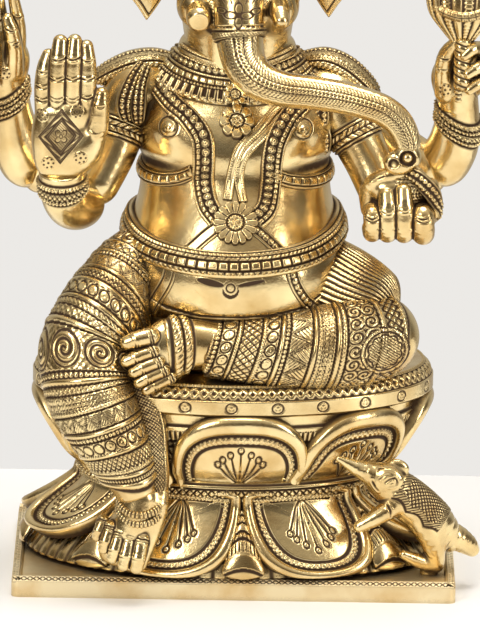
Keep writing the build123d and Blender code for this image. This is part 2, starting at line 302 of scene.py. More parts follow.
def bands(along, across, *rows, start=0.0):
    """Stacks patterns side by side. Each row is (width, pattern, height of its top, height of its ground)."""
    height = np.zeros_like(along)
    edge = start
    for width, pattern, top, ground in rows:
        inside = (across >= edge) & (across < edge + width)
        value = pattern(along[inside] / width, (across[inside] - edge) / width - 0.5)
        height[inside] = ground + (top - ground) * value
        edge += width
    return height


def total_width(rows):
    return sum(row[0] for row in rows)


def ditch(width, depth=0.0):
    """A row of plain ground between two rows of ornament."""
    return width, groove, depth, depth


def parted(width, *rows, depth=0.0):
    """The rows with a ditch between each two."""
    return [part for row in rows for part in (ditch(width, depth), row)][1:]


def banded(*rows):
    """Relief of the rows side by side."""
    return lambda along, across: bands(along, across, *rows)


# ---------------------------------------------------------------- materials

def add_node(tree, kind, inputs, **settings):
    """A shader node. Each input gets a value, or the output that feeds it."""
    node = tree.nodes.new("ShaderNode" + kind)
    for name, value in settings.items():
        setattr(node, name, value)
    for name, value in inputs.items():
        if isinstance(value, bpy.types.NodeSocket):
            tree.links.new(value, node.inputs[name])
        else:
            node.inputs[name].default_value = value
    return node


def make_brass(name, bright=(0.87, 0.695, 0.365), warm=(0.63, 0.43, 0.175), dark=(0.060, 0.030, 0.011),
               rough=0.17):
    """Polished cast metal: warm patches, fine scratches, brown-black wax in the recesses, and painted shade
    where an occlusion node finds crevices and gaps between parts.
    """
    material = bpy.data.materials.new(name)
    material.use_nodes = True
    tree = material.node_tree
    tree.nodes.clear()
    place = add_node(tree, "TexCoord", {}).outputs["Object"]
    patches = add_node(tree, "TexNoise", {"Scale": 45, "Detail": 5, "Vector": place}).outputs["Fac"]
    speckle = add_node(tree, "TexNoise", {"Scale": 420, "Detail": 3, "Vector": place}).outputs["Fac"]
    ramp = add_node(tree, "MapRange", {"From Min": 0.40, "From Max": 0.70, "Value": patches})
    tone = add_node(tree, "Mix", {"A": (*bright, 1), "B": (*warm, 1), "Factor": ramp.outputs["Result"]},
                    data_type="RGBA")

    grime = add_node(tree, "Attribute", {}, attribute_name="grime").outputs["Fac"]
    # Painted shade: the ambient occlusion node darkens the colour where parts hide each other, as shade
    # would; it joins the real wax of the grime attribute.
    occluded = add_node(tree, "AmbientOcclusion", {"Distance": 0.007}, samples=6).outputs["AO"]
    painted_crevice_shade = add_node(tree, "MapRange",
                       {"From Min": 0.55, "From Max": 0.12, "Value": occluded}).outputs["Result"]
    wax_and_painted_shade = add_node(tree, "Math", {0: grime, 1: painted_crevice_shade}, operation="MAXIMUM").outputs["Value"]
    broken = add_node(tree, "Math", {0: speckle, 1: 0.5, 2: 0.62}, operation="MULTIPLY_ADD", use_clamp=True)
    speckled_wax_and_shade = add_node(tree, "Math", {0: wax_and_painted_shade, 1: broken.outputs["Value"]}, operation="MULTIPLY", use_clamp=True)
    amount = add_node(tree, "MapRange", {"From Min": 0.02, "From Max": 0.62, "Value": speckled_wax_and_shade.outputs["Value"]},
                      interpolation_type="SMOOTHSTEP").outputs["Result"]

    # The dark colour stands both for real wax in the recesses and for painted shade in crevices and between
    # parts.
    colour = add_node(tree, "Mix", {"A": tone.outputs["Result"], "B": (*dark, 1), "Factor": amount},
                      data_type="RGBA")
    metal = add_node(tree, "MapRange",
                     {"From Min": 0.55, "From Max": 1.0, "To Min": 1.0, "To Max": 0.35, "Value": amount})
    gloss = add_node(tree, "MapRange", {"To Min": rough, "To Max": 0.62, "Value": amount}).outputs["Result"]
    uneven = add_node(tree, "Math", {0: patches, 1: 0.12, 2: gloss}, operation="MULTIPLY_ADD")
    grain = add_node(tree, "Bump",
                     {"Strength": 0.25, "Distance": 0.0004, "Height": speckle}).outputs["Normal"]
    waves = add_node(tree, "Bump", {"Strength": 0.35, "Distance": 0.0012, "Height": patches, "Normal": grain})
    shader = add_node(tree, "BsdfPrincipled", {"Base Color": colour.outputs["Result"],
                                               "Metallic": metal.outputs["Result"],
                                               "Roughness": uneven.outputs["Value"],
                                               "Normal": waves.outputs["Normal"]})
    add_node(tree, "OutputMaterial", {"Surface": shader.outputs["BSDF"]})
    return material


METALS = {
    "brass": make_brass("antique_brass"),
    "plate": make_brass("worn_brass", (0.95, 0.82, 0.54), (0.80, 0.60, 0.30), rough=0.45),
    "steel": make_brass("zinc_steel", (0.52, 0.53, 0.54), (0.42, 0.42, 0.42), (0.06, 0.055, 0.05), 0.35),
}


# ---------------------------------------------------------------- pedestal

PLATE, SEAT = box("base_plate"), box("seat_slab")
COLLAR_LOW, COLLAR_HIGH = box("lotus_collar")[:, 2]
SEAT_LOW, SEAT_HIGH = SEAT[:, 2]
SEAT_X = SEAT[:, 0].mean()
PETALS = 8
LOWER_TURN = 0.045  # the lower lotus is turned by this, in radians


def oval(angle, half_x, half_y, middle_x=0.0):
    """A point of an ellipse; angle 0 is the front and it grows towards +X."""
    return middle_x + half_x * np.sin(angle), -half_y * np.cos(angle)


def oval_ring(name, profile, relief, middle_x=0.0, step=FINE, **options):
    """A moulding round an oval. profile holds (z, half_x, half_y); relief(along, across) is its height."""
    section, across = even(np.array(profile, float), step)
    turn = TAU * math.sqrt((section[:, 1].max() ** 2 + section[:, 2].max() ** 2) / 2)
    angle = np.linspace(-math.pi, math.pi, int(turn / step), endpoint=False)
    x, y = oval(angle[None, :], section[:, 1:2], section[:, 2:3], middle_x)
    points = np.stack([x, y, np.broadcast_to(section[:, :1], x.shape)], -1)
    middle = section[len(section) // 2]
    speed = np.hypot(middle[1] * np.cos(angle), middle[2] * np.sin(angle))
    along = np.cumsum(speed) * (angle[1] - angle[0])
    along = along / along[-1] * round(along[-1])
    height = relief(*np.broadcast_arrays(along, across[:, None]))
    return relief_grid(name, points, height, wrap=True, **options)


LOWER_SKIRT = [(COLLAR_LOW + 3, 82, 62), (COLLAR_LOW - 4, 84, 63), (40, 91, 66), (31, 100, 70), (22, 109, 74),
               (15, 115, 77), (11, 117, 77.5)]
SIDE_SKIRT = [(COLLAR_LOW + 3, 82, 62), (COLLAR_LOW - 4, 85, 63), (40, 95, 67), (33, 105, 71), (27, 113, 74),
              (22.5, 117, 75.5)]
UPPER_BOWL = [(COLLAR_HIGH - 3, 80, 60), (COLLAR_HIGH + 3, 84, 62), (72, 92, 66), (82, 98, 69), (92, 102, 71),
              (SEAT_LOW + 3, 104, 72)]


def speed_on(half_x, half_y, angle):
    """How far a point moves round an oval for each radian, near an angle."""
    return math.hypot(half_x * math.cos(angle), half_y * math.sin(angle))


def on_skirt(profile, petal_angle, middle_x):
    """Places a petal's flat coordinates on a lotus ring: x across it, q from 0 to 1 along the profile."""
    knots = curve_through(profile, count=60)
    speed = speed_on(*knots[30, 1:], petal_angle)

    def place(x, q):
        t = np.clip(q, 0, 1) * (len(knots) - 1)
        z, half_x, half_y = (np.interp(t, np.arange(len(knots)), column) for column in knots.T)
        px, py = oval(petal_angle + x / speed, half_x, half_y, middle_x)
        return np.stack([px, py, z], -1)
    return place


def stamens(x, y, reach, bend=0.0):
    """Cut lines that fan out from the root of a petal, each ending in a punched ring. Returns a depth."""
    depth = np.zeros_like(x)
    spread = 0.62
    for place in np.linspace(-1, 1, 7):
        slope, lean = math.sin(spread * place), math.cos(spread * place)
        length = reach * (1 - 0.28 * abs(place))
        t = np.clip(y / length, 0, 1)
        line_x = length * slope * (t + bend * t ** 2)
        depth += 0.75 * mark(np.abs(x - line_x) * lean, 0.55) * (y > -2) * (y < length - 1.5)
        r = np.hypot(x - length * slope * (1 + bend), y - length)
        depth += 0.7 * mark(r - 1.5, 0.4) - 0.3 * mark(r, 0.9)
    return depth


PETAL_ROWS = [(7.0, roll, 4.2, 0.0), ditch(0.9, 0.2), (3.3, cross, 1.5, 0.5), ditch(1.0)]


def petal(name, profile, petal_angle, half_width, length, power, middle_x, bend=0.0):
    """A lotus petal: a thick rolled rim, a band of small pyramids inside it and a smooth field with stamens.

    Its outline is a rounded arch in flat coordinates, from the root at y = 0 to the tip at y = length.
    """
    place = on_skirt(profile, petal_angle, middle_x)
    turn = np.linspace(0, TAU, 1200)
    c, s = np.cos(turn), np.sin(turn)
    ox = half_width * np.sign(c) * np.abs(c) ** (2 / power)
    oy = np.where(s > 0, length, 9.0) * np.sign(s) * np.abs(s) ** (2 / power)
    outline, along = even(np.stack([ox, oy], 1), 0.5)
    outline, along = outline[:-1], along[:-1]
    tangent = np.roll(outline, -1, 0) - np.roll(outline, 1, 0)
    inward = unit(np.stack([-tangent[:, 1], tangent[:, 0]], 1))

    width = total_width(PETAL_ROWS)
    depth = np.arange(0, width + 0.01, FINE)
    rim = outline[None] + inward[None] * depth[:, None, None]
    centre = np.array([0, length * 0.35])
    inner = np.linspace(1, 0.02, 34)[1:, None, None]
    field = centre + (rim[-1][None] - centre) * inner
    x, y = np.moveaxis(np.concatenate([rim, field]), -1, 0)
    across = np.concatenate([depth, np.full(len(field), width + 1)])[:, None]
    height = bands(*np.broadcast_arrays(along, across), *PETAL_ROWS)
    height += (across > width) * (0.7 - stamens(x, y, length * 0.62, bend))
    height += 1.5 * np.clip(1 - (x / half_width) ** 2, 0, 1) + 1.2
    height[0] = -3.0
    return relief_grid(name, place(x, y / length * 0.94 + 0.03), height, wrap=True)


BUD_ROWS = [(2.0, flat, 0.6, 0.0), ditch(0.8), (2.6, flat, 1.0, 0.4), ditch(0.7),
            (2.6, slants, 1.2, 0.5), (0.7, groove, 0.1, 0.0), (2.6, flat, 1.5, 0.8), (0.7, groove, 0.3, 0.0),
            (2.2, beads, 2.0, 0.8), ditch(0.8, 0.5), (4.2, comb, 2.6, 1.2), (1.2, flat, 2.2, 2.2),
            (6.0, flat, 2.4, 2.4)]


def bud(name, petal_angle, half_width, top, low):
    """A small layered bud in the gap between two lower petals: narrow at the top and round at the bottom."""
    t, across = np.broadcast_arrays(np.linspace(0, 1, 90)[:, None], np.linspace(-1, 1, 80))
    x = across * half_width * (0.18 + 0.82 * t ** 0.9) * np.where(t > 0.72, dome((t - 0.72) / 0.281), 1)
    length = t * 31 + 3.5 * (1 - across ** 2)
    height = bands(x, length, *BUD_ROWS)
    height += 5.0 * dome(across) * (0.35 + 0.65 * np.sin(math.pi * t ** 0.8)) - 0.6
    points = on_skirt(LOWER_SKIRT, petal_angle, 0.0)(x, top + (low - top) * t)
    return relief_grid(name, points, height)


def make_lower_lotus():
    core = [(z, a - 2.5, b - 2.5) for z, a, b in LOWER_SKIRT] + [(PLATE[1, 2], 108, 70)]
    oval_ring("lower_lotus_core", core, lambda along, across: 0.25 * np.sin(along * 0.9), step=0.9,
              nodes=["lower_lotus"])
    for k in range(PETALS):
        angle = TAU * (k + 0.5) / PETALS + LOWER_TURN
        share = TAU / PETALS / 2 * speed_on(84, 63, angle)
        if abs(math.sin(angle)) > 0.7:
            petal(f"lower_petal_{k + 1}", SIDE_SKIRT, angle, share * 1.12, 42, 2.3, 0.0)
        else:
            petal(f"lower_petal_{k + 1}", LOWER_SKIRT, angle, share * 1.19, 47, 2.3, 0.0)
    for k in range(PETALS):
        bud(f"lower_bud_{k + 1}", TAU * k / PETALS + LOWER_TURN, 12.5, 0.2, 0.97)


def make_upper_lotus():
    rows = [(9.0, flat, 0.2, 0.2), (12.0, net, 0.9, 0.2), ditch(1.0), (8.0, slants, 0.9, 0.2), ditch(1.0),
            (3.2, beads, 1.6, 0.3), ditch(1.2), (6.0, comb, 1.7, 0.3), (2.0, flat, 1.2, 1.2)]
    core = [(z, a - 1.5, b - 1.5) for z, a, b in UPPER_BOWL]
    oval_ring("upper_lotus_core", core, banded(*rows), SEAT_X, nodes=["upper_lotus"])
    for k in range(PETALS):
        angle = TAU * k / PETALS + (0.05 if k == 0 else 0)
        half_width = TAU / PETALS / 2 * speed_on(98, 69, angle) * 1.04
        petal(f"upper_petal_{k + 1}", UPPER_BOWL, angle, half_width, 37.5, 2.7, SEAT_X, bend=0.25)


def make_collar():
    rows = [(1.2, flat, 0.8, 0.2), ditch(0.7, -0.4), (2.0, beads, 1.3, 0.0), ditch(0.7, -0.4),
            (4.0, crosses, 1.6, -0.3), ditch(0.8, -0.4), (1.8, flat, 1.0, 0.3)]
    low, high = COLLAR_LOW - 0.5, COLLAR_HIGH + 0.5
    profile = [(low, 83, 63), (low + 1, 85, 65), ((low + high) / 2, 86, 66), (high - 1, 85, 65),
               (high, 83, 63)]
    oval_ring("collar", profile, banded(*rows), nodes=["lotus_collar"])


def punched(along, across, middle, pitch, radius):
    """Round punch marks in a row: a ring with three dots in it."""
    pitch = along.max() / max(1, round(along.max() / pitch))
    u, v = cell(along / pitch) * pitch, across - middle
    r, turn = np.hypot(u, v), np.arctan2(v, u)
    three = mark(r - radius * 0.42, 0.45) * (0.5 + 0.5 * np.cos(3 * turn + 1.5))
    return 0.55 * mark(r - radius, 0.42) + 0.35 * three


def make_seat():
    """Plain rim with punched rings, a dark line, a sloped edge stamped with coarse stars, and a plain top."""
    half_x, half_y = (SEAT[1, 0] - SEAT[0, 0]) / 2, SEAT[1, 1]
    rim_top = SEAT_LOW + 8.6
    levels = [(SEAT_LOW - 1, 5), (SEAT_LOW, 2.4), (SEAT_LOW + 1.4, 0.6), (rim_top, 0.6), (rim_top + 0.6, 1.4),
              (SEAT_HIGH - 0.8, 5.6), (SEAT_HIGH - 0.4, 7)]
    profile = [(z, half_x - inset, half_y - inset) for z, inset in levels]
    profile.append((SEAT_HIGH - 0.4, half_x - 40, half_y - 30))
    lengths = np.linalg.norm(np.diff(np.array(profile), axis=0), axis=1)
    start = np.concatenate([[0], np.cumsum(lengths)])
    rim, slope = start[2:4], start[4:6]

    def relief(along, across):
        rows = [ditch(0.7, -0.5), (slope[1] - slope[0] - 1.2, stars, 1.1, -0.1), ditch(0.6, -0.4)]
        height = bands(along, across, *rows, start=slope[0] - 0.3)
        on_rim = (across > rim[0]) & (across < rim[1])
        return height - on_rim * punched(along, across, rim.mean(), 22, 2.7)
    oval_ring("seat", profile, relief, SEAT_X, nodes=["seat_slab"])
    levels = ((-1.2, 5.2), (0.1, 6.2), (-1.2, 7.4))
    lip = [(SEAT_HIGH + z, half_x - inset, half_y - inset) for z, inset in levels]
    oval_ring("seat_lip", lip, lambda along, across: 0.3 * ripple(along * 1.6), SEAT_X)


def make_pedestal():
    make_lower_lotus()
    make_collar()
    make_upper_lotus()
    make_seat()


# ---------------------------------------------------------------- relief on bodies

CURVE_STEP = 2.0  # spacing of the points of a curve on a skin, in mm
FAR_OFF = 300  # a place well outside the figure, in mm

def sweep(name, stations, relief, side=(0, 0, 1), cap=(0.0, 0.0), part=(0.0, 1.0), **options):
    """A limb: ovals square to a path of (x, y, z, half_a, half_b), half_b being nearest to side.

    relief(s, around, angle) gives the height from the distance along, the distance round and the angle round.
    cap says how far each end rounds off, and part keeps a stretch of the length, from 0 to 1.
    """
    line, s = even(curve_through(stations, count=200))
    centre = line[:, :3]
    tangent = unit(np.gradient(centre, axis=0))
    across = unit(np.cross(np.array(side, float), tangent))
    upward = np.cross(tangent, across)
    half_a, half_b = line[:, 3].copy(), line[:, 4].copy()
    for distance, reach in ((s, cap[0]), (s[-1] - s, cap[1])):
        if reach:
            rounding = dome(np.clip(1 - distance / reach, 0, 0.9999))
            half_a *= rounding
            half_b *= rounding
    girth = TAU * math.sqrt((line[:, 3].mean() ** 2 + line[:, 4].mean() ** 2) / 2)
    angle = np.linspace(-math.pi / 2, 1.5 * math.pi, int(girth / FINE), endpoint=False)
    c, d = np.cos(angle)[None, :, None], np.sin(angle)[None, :, None]
    points = centre[:, None] + half_a[:, None, None] * c * across[:, None]
    points = points + half_b[:, None, None] * d * upward[:, None]
    along, turn = np.broadcast_arrays(s[:, None], angle)
    height = relief(along, turn / TAU * girth, turn)
    keep = slice(int(part[0] * len(s)), int(math.ceil(part[1] * len(s))) + 1)
    outward = (points - centre[:, None])[keep]
    return relief_grid(name, points[keep], height[keep], wrap=True, outward=outward, **options)


def smooth(s, around, angle):
    return np.zeros_like(s)


def skin_of(*pieces):
    """One search tree of the pieces' surfaces, in mm."""
    corners, faces = [], []
    for piece in pieces:
        shift = len(corners)
        corners += [v.co / MM for v in piece.data.vertices]
        faces += [[i + shift for i in face.vertices] for face in piece.data.polygons]
    return BVHTree.FromPolygons(corners, faces)


def from_front(skin, knots):
    """A curve through (x, z) knots, dropped on to the skin from the front."""
    line = []
    for x, z, _ in curve_through([(x, z, 0) for x, z in knots], step=CURVE_STEP):
        hit, *_ = skin.ray_cast(Vector((x, -FAR_OFF, z)), Vector((0, 1, 0)))
        if hit is not None:
            line.append(hit)
    return np.array(line)


def around_body(skin, knots, middle):
    """A curve through (angle in degrees, z) knots, dropped on to the skin from all round; 0 is in front."""
    line = []
    for turn, z, _ in curve_through([(a, z, 0) for a, z in knots], step=CURVE_STEP):
        turn = math.radians(turn)
        out = Vector((math.sin(turn), -math.cos(turn), 0))
        hit, *_ = skin.ray_cast(Vector((*middle, z)) + out * FAR_OFF, -out)
        if hit is not None:
            line.append(hit)
    return np.array(line)


def ribbon(name, skin, line, rows, lift=0.3, crown=0.0):
    """A raised band of ornament laid on a skin along a line. rows go across it, and its edges dip in."""
    width = total_width(rows)
    line, s = even(line)
    tangent = unit(np.gradient(line, axis=0))
    normals = np.array([skin.find_nearest(Vector(p))[1] for p in line])
    mean = np.ones(9) / 9
    normals = np.stack([np.convolve(np.pad(c, 4, mode="edge"), mean, "valid") for c in normals.T], 1)
    side = unit(np.cross(tangent, normals))
    across = np.arange(-1, width / FINE + 2) * FINE
    laid = line[:, None] + side[:, None] * (across - width / 2)[None, :, None]
    base, out = np.empty_like(laid), np.empty_like(laid)
    for i, j in np.ndindex(laid.shape[:2]):
        base[i, j], out[i, j], *_ = skin.find_nearest(Vector(laid[i, j]))
    along, across = np.broadcast_arrays(s[:, None], across)
    height = bands(along, across, *rows) + lift + crown * dome((across - width / 2) / (width / 2))
    edge = (across < 0) | (across > width)
    height = np.where(edge, -0.5, height)
    height[0] = height[-1] = -0.5
    raised = base + out * height[..., None]
    dark = np.clip(recesses(height) + 0.35 * edge, 0, 1)
    quads = grid_quads(*height.shape)
    if (grid_normals(raised) * out).sum() < 0:
        quads = quads[:, ::-1]
    return add_piece(name, raised.reshape(-1, 3), quads, dark.ravel())


def rosette(name, skin, x, z, radius, petals, top=2.4, heart=0.38, depth=1.0):
    """A flower boss on the front of the skin: a ring of petals round a cut or studded heart."""
    middle, normal, *_ = skin.ray_cast(Vector((x, -FAR_OFF, z)), Vector((0, 1, 0)))
    middle, normal = np.array(middle), np.array(normal)
    sideways = unit(np.cross((0, 0, 1.0), normal))
    upright = np.cross(normal, sideways)
    r = np.linspace(0.02, 1.0, max(10, int(radius / 0.35)))[:, None]
    turn = np.linspace(0, TAU, max(60, int(TAU * radius / 0.4)), endpoint=False)[None, :]
    wave = np.abs(np.cos(turn * petals / 2))
    reach = radius * (1 - 0.20 * (1 - wave) ** 2)
    flat_x, flat_y = r * reach * np.cos(turn), r * reach * np.sin(turn)
    points = middle + flat_x[..., None] * sideways + flat_y[..., None] * upright
    height = top * (0.75 + 0.25 * dome(2 * r - 1.35))
    height = height - depth * mark(wave, 0.22) * (r > heart * 1.15)
    height -= 0.9 * mark(r - heart * 1.08, 0.05)
    height += (r < heart) * (0.8 * dome(r / heart) - 0.5 * mark(r / heart - 0.62, 0.12)
                             - 0.3 * np.cos(turn * 5) * (r / heart > 0.2))
    height = np.where(r > 0.985, -1.5, height)
    return relief_grid(name, points, height, wrap=True, outward=normal)


# ---------------------------------------------------------------- torso

FIGURE_X = -2.5
TORSO = [(116, 60, 48, 4), (135, 65, 52, 0), (152, 65, 57, -5), (166, 64, 59, -6), (178, 62, 58, -6),
         (190, 58, 54, -4), (208, 52.5, 46, -1), (222, 51.5, 42, 1), (238, 54, 42, 2), (252, 55.5, 39, 4),
         (266, 51, 32, 6), (276, 42, 27.5, 5), (284, 34, 26, 4), (293, 30.5, 25.5, 2), (297.5, 25, 20, 2)]


def swell(x, y, z, at, size, height):
    """A soft mound of the given height round a point."""
    gap = ((x - at[0]) / size[0]) ** 2 + ((y - at[1]) / size[1]) ** 2 + ((z - at[2]) / size[2]) ** 2
    return height * np.exp(-gap)


def make_torso():
    section = curve_through(TORSO, count=360)
    angle = np.linspace(-math.pi, math.pi, 640, endpoint=False)[None, :]
    z, half_x, half_y, shift = (section[:, i:i + 1] for i in range(4))
    x, y = oval(angle, half_x, half_y, FIGURE_X)
    y = y + shift
    z = np.broadcast_to(z, x.shape)
    height = np.zeros_like(x)
    for side in (-1, 1):
        height += swell(x, y, z, (FIGURE_X + side * 33, -28, 249), (18, 26, 15), 4.6)
        height += swell(x, y, z, (FIGURE_X + side * 34, -34, 249), (4.2, 20, 4.2), 2.4)
        height -= swell(x, y, z, (FIGURE_X + side * 46, -18, 228), (22, 30, 5), 2.4)
        height += swell(x, y, z, (FIGURE_X + side * 30, 42, 250), (20, 20, 26), 3.0)
    height += swell(x, y, z, (FIGURE_X, -60, 205), (50, 30, 14), 2.6)
    height -= swell(x, y, z, (FIGURE_X, -60, 146), (60, 30, 4.5), 3.0)
    height -= swell(x, y, z, (FIGURE_X, 45, 215), (3.5, 20, 50), 3.0)
    points = np.stack([x, y, z], -1)
    for side in (-1, 1):
        r = np.hypot(x - FIGURE_X - side * 34.2, z - 249.6)
        height -= (y < 0) * (0.55 * mark(r - 4.7, 0.45) + 0.5 * mark(r - 2.1, 0.5))
    height += ripple(26 * angle) ** 0.7 * ease(y, 10, 32) * ease(-z, -192, -188)
    hem = np.interp(x, (-58, -39, -23, -4, 17, 35, 53), (166, 156.5, 153.5, 153, 154, 157, 168))
    height -= (y < 0) * 0.9 * mark(z - hem, 0.7)
    outward = (points - (FIGURE_X, 0, 0)) * (1, 1, 0)
    return relief_grid("torso", points, height, wrap=True, outward=outward, nodes=["torso"])


def navel(u, v):
    """A ringed button between two wing-shaped cuts."""
    far, ring = np.abs(u), np.hypot(u, v + 0.6)
    arch = np.clip(np.sin(math.pi * np.clip((far - 3.5) / 15, 0, 1)), 0, 1)
    wing = np.where(u < 0, 1.8, 1.1) * np.sqrt(arch) + 0.01
    height = -0.75 * np.exp(-((v - 0.9 - 0.17 * (far - 4.5)) / wing) ** 4) * (far > 4.0) * (far < 18.5)
    below = np.clip(-(v + 0.6) / np.maximum(ring, 1e-3), 0, 1)
    height -= 0.75 * (ring > 3.9) * (ring < 4.0 + 1.9 * below)
    height -= 0.6 * mark(ring - 2.3, 0.4)
    return height, (np.hypot(u / 20.2, v / 9.6) < 1)


THREAD = parted(0.4, (1.4, beads, 1.0, 0.3), (1.4, rope, 0.9, 0.3), (1.4, beads, 1.0, 0.3))


def make_chest_ornament(skin):
    """Necklace, garlands, sacred thread, rosettes, pendant and under-breast bands."""
    garland = parted(0.5, (1.8, beads, 1.6, 0.2), (4.6, stones, 2.3, 0.3), (2.4, bricks, 1.7, 0.3),
                     (1.8, rope, 1.5, 0.2))
    right = [(-50, 277), (-45, 270), (-37, 262), (-28, 256), (-21, 247), (-19.5, 235), (-19.5, 222),
             (-17, 211), (-11, 204)]
    left = [(46, 277), (41, 271), (34, 264), (26, 257), (19.5, 246), (17, 234), (16.5, 222), (14.5, 210),
            (8, 204)]
    ribbon("garland_right_side", skin, from_front(skin, right), garland, lift=0.7, crown=0.9)
    ribbon("garland_left_side", skin, from_front(skin, left), garland[::-1], lift=0.7, crown=0.9)
    outer = [(30, 266), (20, 262), (9, 251), (0, 242), (-4, 230), (-6.5, 214)]
    inner = [(31, 260), (22, 256), (11, 247), (2.5, 238), (-0.5, 226), (2, 213)]
    ribbon("thread_outer", skin, from_front(skin, outer), THREAD, lift=0.4, crown=0.5)
    ribbon("thread_inner", skin, from_front(skin, inner), THREAD, lift=0.4, crown=0.5)
    make_necklaces(skin)
    rosette("rosette_upper", skin, -3, 267.5, 6.8, 8, top=4.2)
    rosette("rosette_lower", skin, -2, 254.5, 9.6, 8, top=4.4)
    rosette("pendant", skin, -2, 203, 12.2, 16, top=3.6, heart=0.36, depth=0.9)

    under = parted(0.5, (1.0, flat, 0.9, 0.6), (4.6, bricks, 1.4, 0.5), (1.4, rope, 1.2, 0.4))
    levels = (224, 221.5, 220.5, 223, 228)
    for name, rows, turns in (("right", under[::-1], (-112, -85, -60, -42, -30)),
                              ("left", under, (112, 85, 60, 40, 26))):
        line = around_body(skin, zip(turns, levels), (FIGURE_X, 2))
        ribbon(f"under_breast_band_{name}", skin, line, rows, lift=0.5, crown=0.9)


def mirrored(knots):
    """Knots (x, z) of an even curve across the figure, from those of one half, its outer end first."""
    return [(FIGURE_X - x, z) for x, z in knots] + [(FIGURE_X + x, z) for x, z in knots[-2::-1]]


def make_necklaces(skin):
    """Necklace and choker, and the back halves of the necklace and the thread."""
    bead, stone = (2.0, beads, 1.2, 0.2), (4.2, stones, 1.6, 0.3)
    cord, brick = (1.8, rope, 1.2, 0.2), (3.4, bricks, 1.3, 0.3)
    rows = parted(0.5, bead, stone, cord, brick, (1.8, beads, 1.2, 0.2), (8.4, drops, 1.9, 0.3))
    line = from_front(skin, mirrored([(49, 286), (42, 281), (31, 276.5), (16, 273.5), (0, 272.5)]))
    ribbon("necklace", skin, line, rows, lift=0.9, crown=1.0)
    line = around_body(skin, [(98, 283), (140, 280), (180, 278.5), (220, 280), (262, 283)], (FIGURE_X, 2))
    ribbon("necklace_back", skin, line, parted(0.5, bead, stone, brick, cord), lift=0.6, crown=0.8)
    line = around_body(skin, [(138, 262), (160, 248), (185, 230), (210, 213), (232, 203)], (FIGURE_X, 2))
    ribbon("thread_back", skin, line, THREAD, lift=1.3, crown=0.5)
    rows = parted(0.5, (1.5, beads, 1.1, 0.2), (2.4, slants, 1.2, 0.3), (1.5, beads, 1.1, 0.2))
    line = from_front(skin, mirrored([(30, 289), (15, 285), (0, 284)]))
    ribbon("choker", skin, line, rows, lift=0.9, crown=0.5)


def stones(u, v):
    """Round cut stones side by side, each in a ring."""
    r = np.hypot(cell(u * 1.05), v)
    return ease(-r, -0.5, -0.42) * (1 - 0.65 * mark(r - 0.3, 0.06)) * (1 - 0.25 * (r > 0.42))


def drops(u, v):
    """A fringe of long loops with a bead hanging in each."""
    x, low = cell(2.1 * u) / 2.1, np.clip(v - 0.2, 0, 9)
    ring = mark(np.hypot(x, low) - 0.165, 0.05)
    bead = mark(np.hypot(x, v - 0.18), 0.09)
    return np.clip(np.maximum(ring, bead), 0, 1)


def make_belt(skin):
    """Wide belt that dips to the front, straps below it and ribbons from the pendant."""
    rows = [(1.0, rope, 1.0, 0.4), ditch(0.6), (4.0, leaves, 1.7, 0.4), ditch(0.8), (4.4, bricks, 2.0, 0.4),
            ditch(0.7), (3.0, scallops, 1.9, 0.1)]
    knots = [(-180, 196), (-140, 196), (-105, 195), (-82, 192), (-60, 187.5), (-35, 184), (0, 182.4),
             (35, 184.5), (60, 189), (82, 194), (105, 197), (140, 197), (180, 196)]
    ribbon("belt", skin, around_body(skin, knots, (FIGURE_X, -2)), rows, lift=1.2, crown=1.6)
    plain = parted(0.8, (1.0, flat, 0.8, 0.5), (4.2, flat, 0.9, 0.5), (1.0, flat, 0.8, 0.5))
    beaded = parted(0.6, (1.0, flat, 0.9, 0.5), (3.6, stones, 1.3, 0.4), (1.0, flat, 0.9, 0.5))
    for name, straps, lift, knots in (
            ("pendant_ribbon_right", plain, 0.3, [(-9, 203), (-17, 197), (-27, 188)]),
            ("pendant_ribbon_left", beaded, 0.3, [(5, 203), (13, 197), (23, 188)]),
            ("belly_strap_right", plain, 0.3, [(-36, 181), (-38, 172), (-43, 162), (-47, 154)]),
            ("belly_strap_left", beaded, 0.4, [(28, 181), (31, 171), (36, 162), (42, 155)])):
        ribbon(name, skin, from_front(skin, knots), straps, lift)


# ---------------------------------------------------------------- legs

def ringed(rows, start=0.0, slant=0.0, turned=0.0, sag=0.0):
    """Ring bands round a limb. slant tilts them, and sag lets them hang in front towards the limb's end."""
    def relief(s, around, angle):
        hang = sag * ease(s, 80, 115) * (np.cos(angle) + 0.5)
        return bands(around, s + slant * np.sin(angle + turned) + hang, *rows, start=start)
    return relief


RIDGE = (2.4, rope, 1.7, 0.3)
PLAIN_RIDGE = (2.6, roll, 1.5, 0.0)
GAP = ditch(0.7, -0.2)


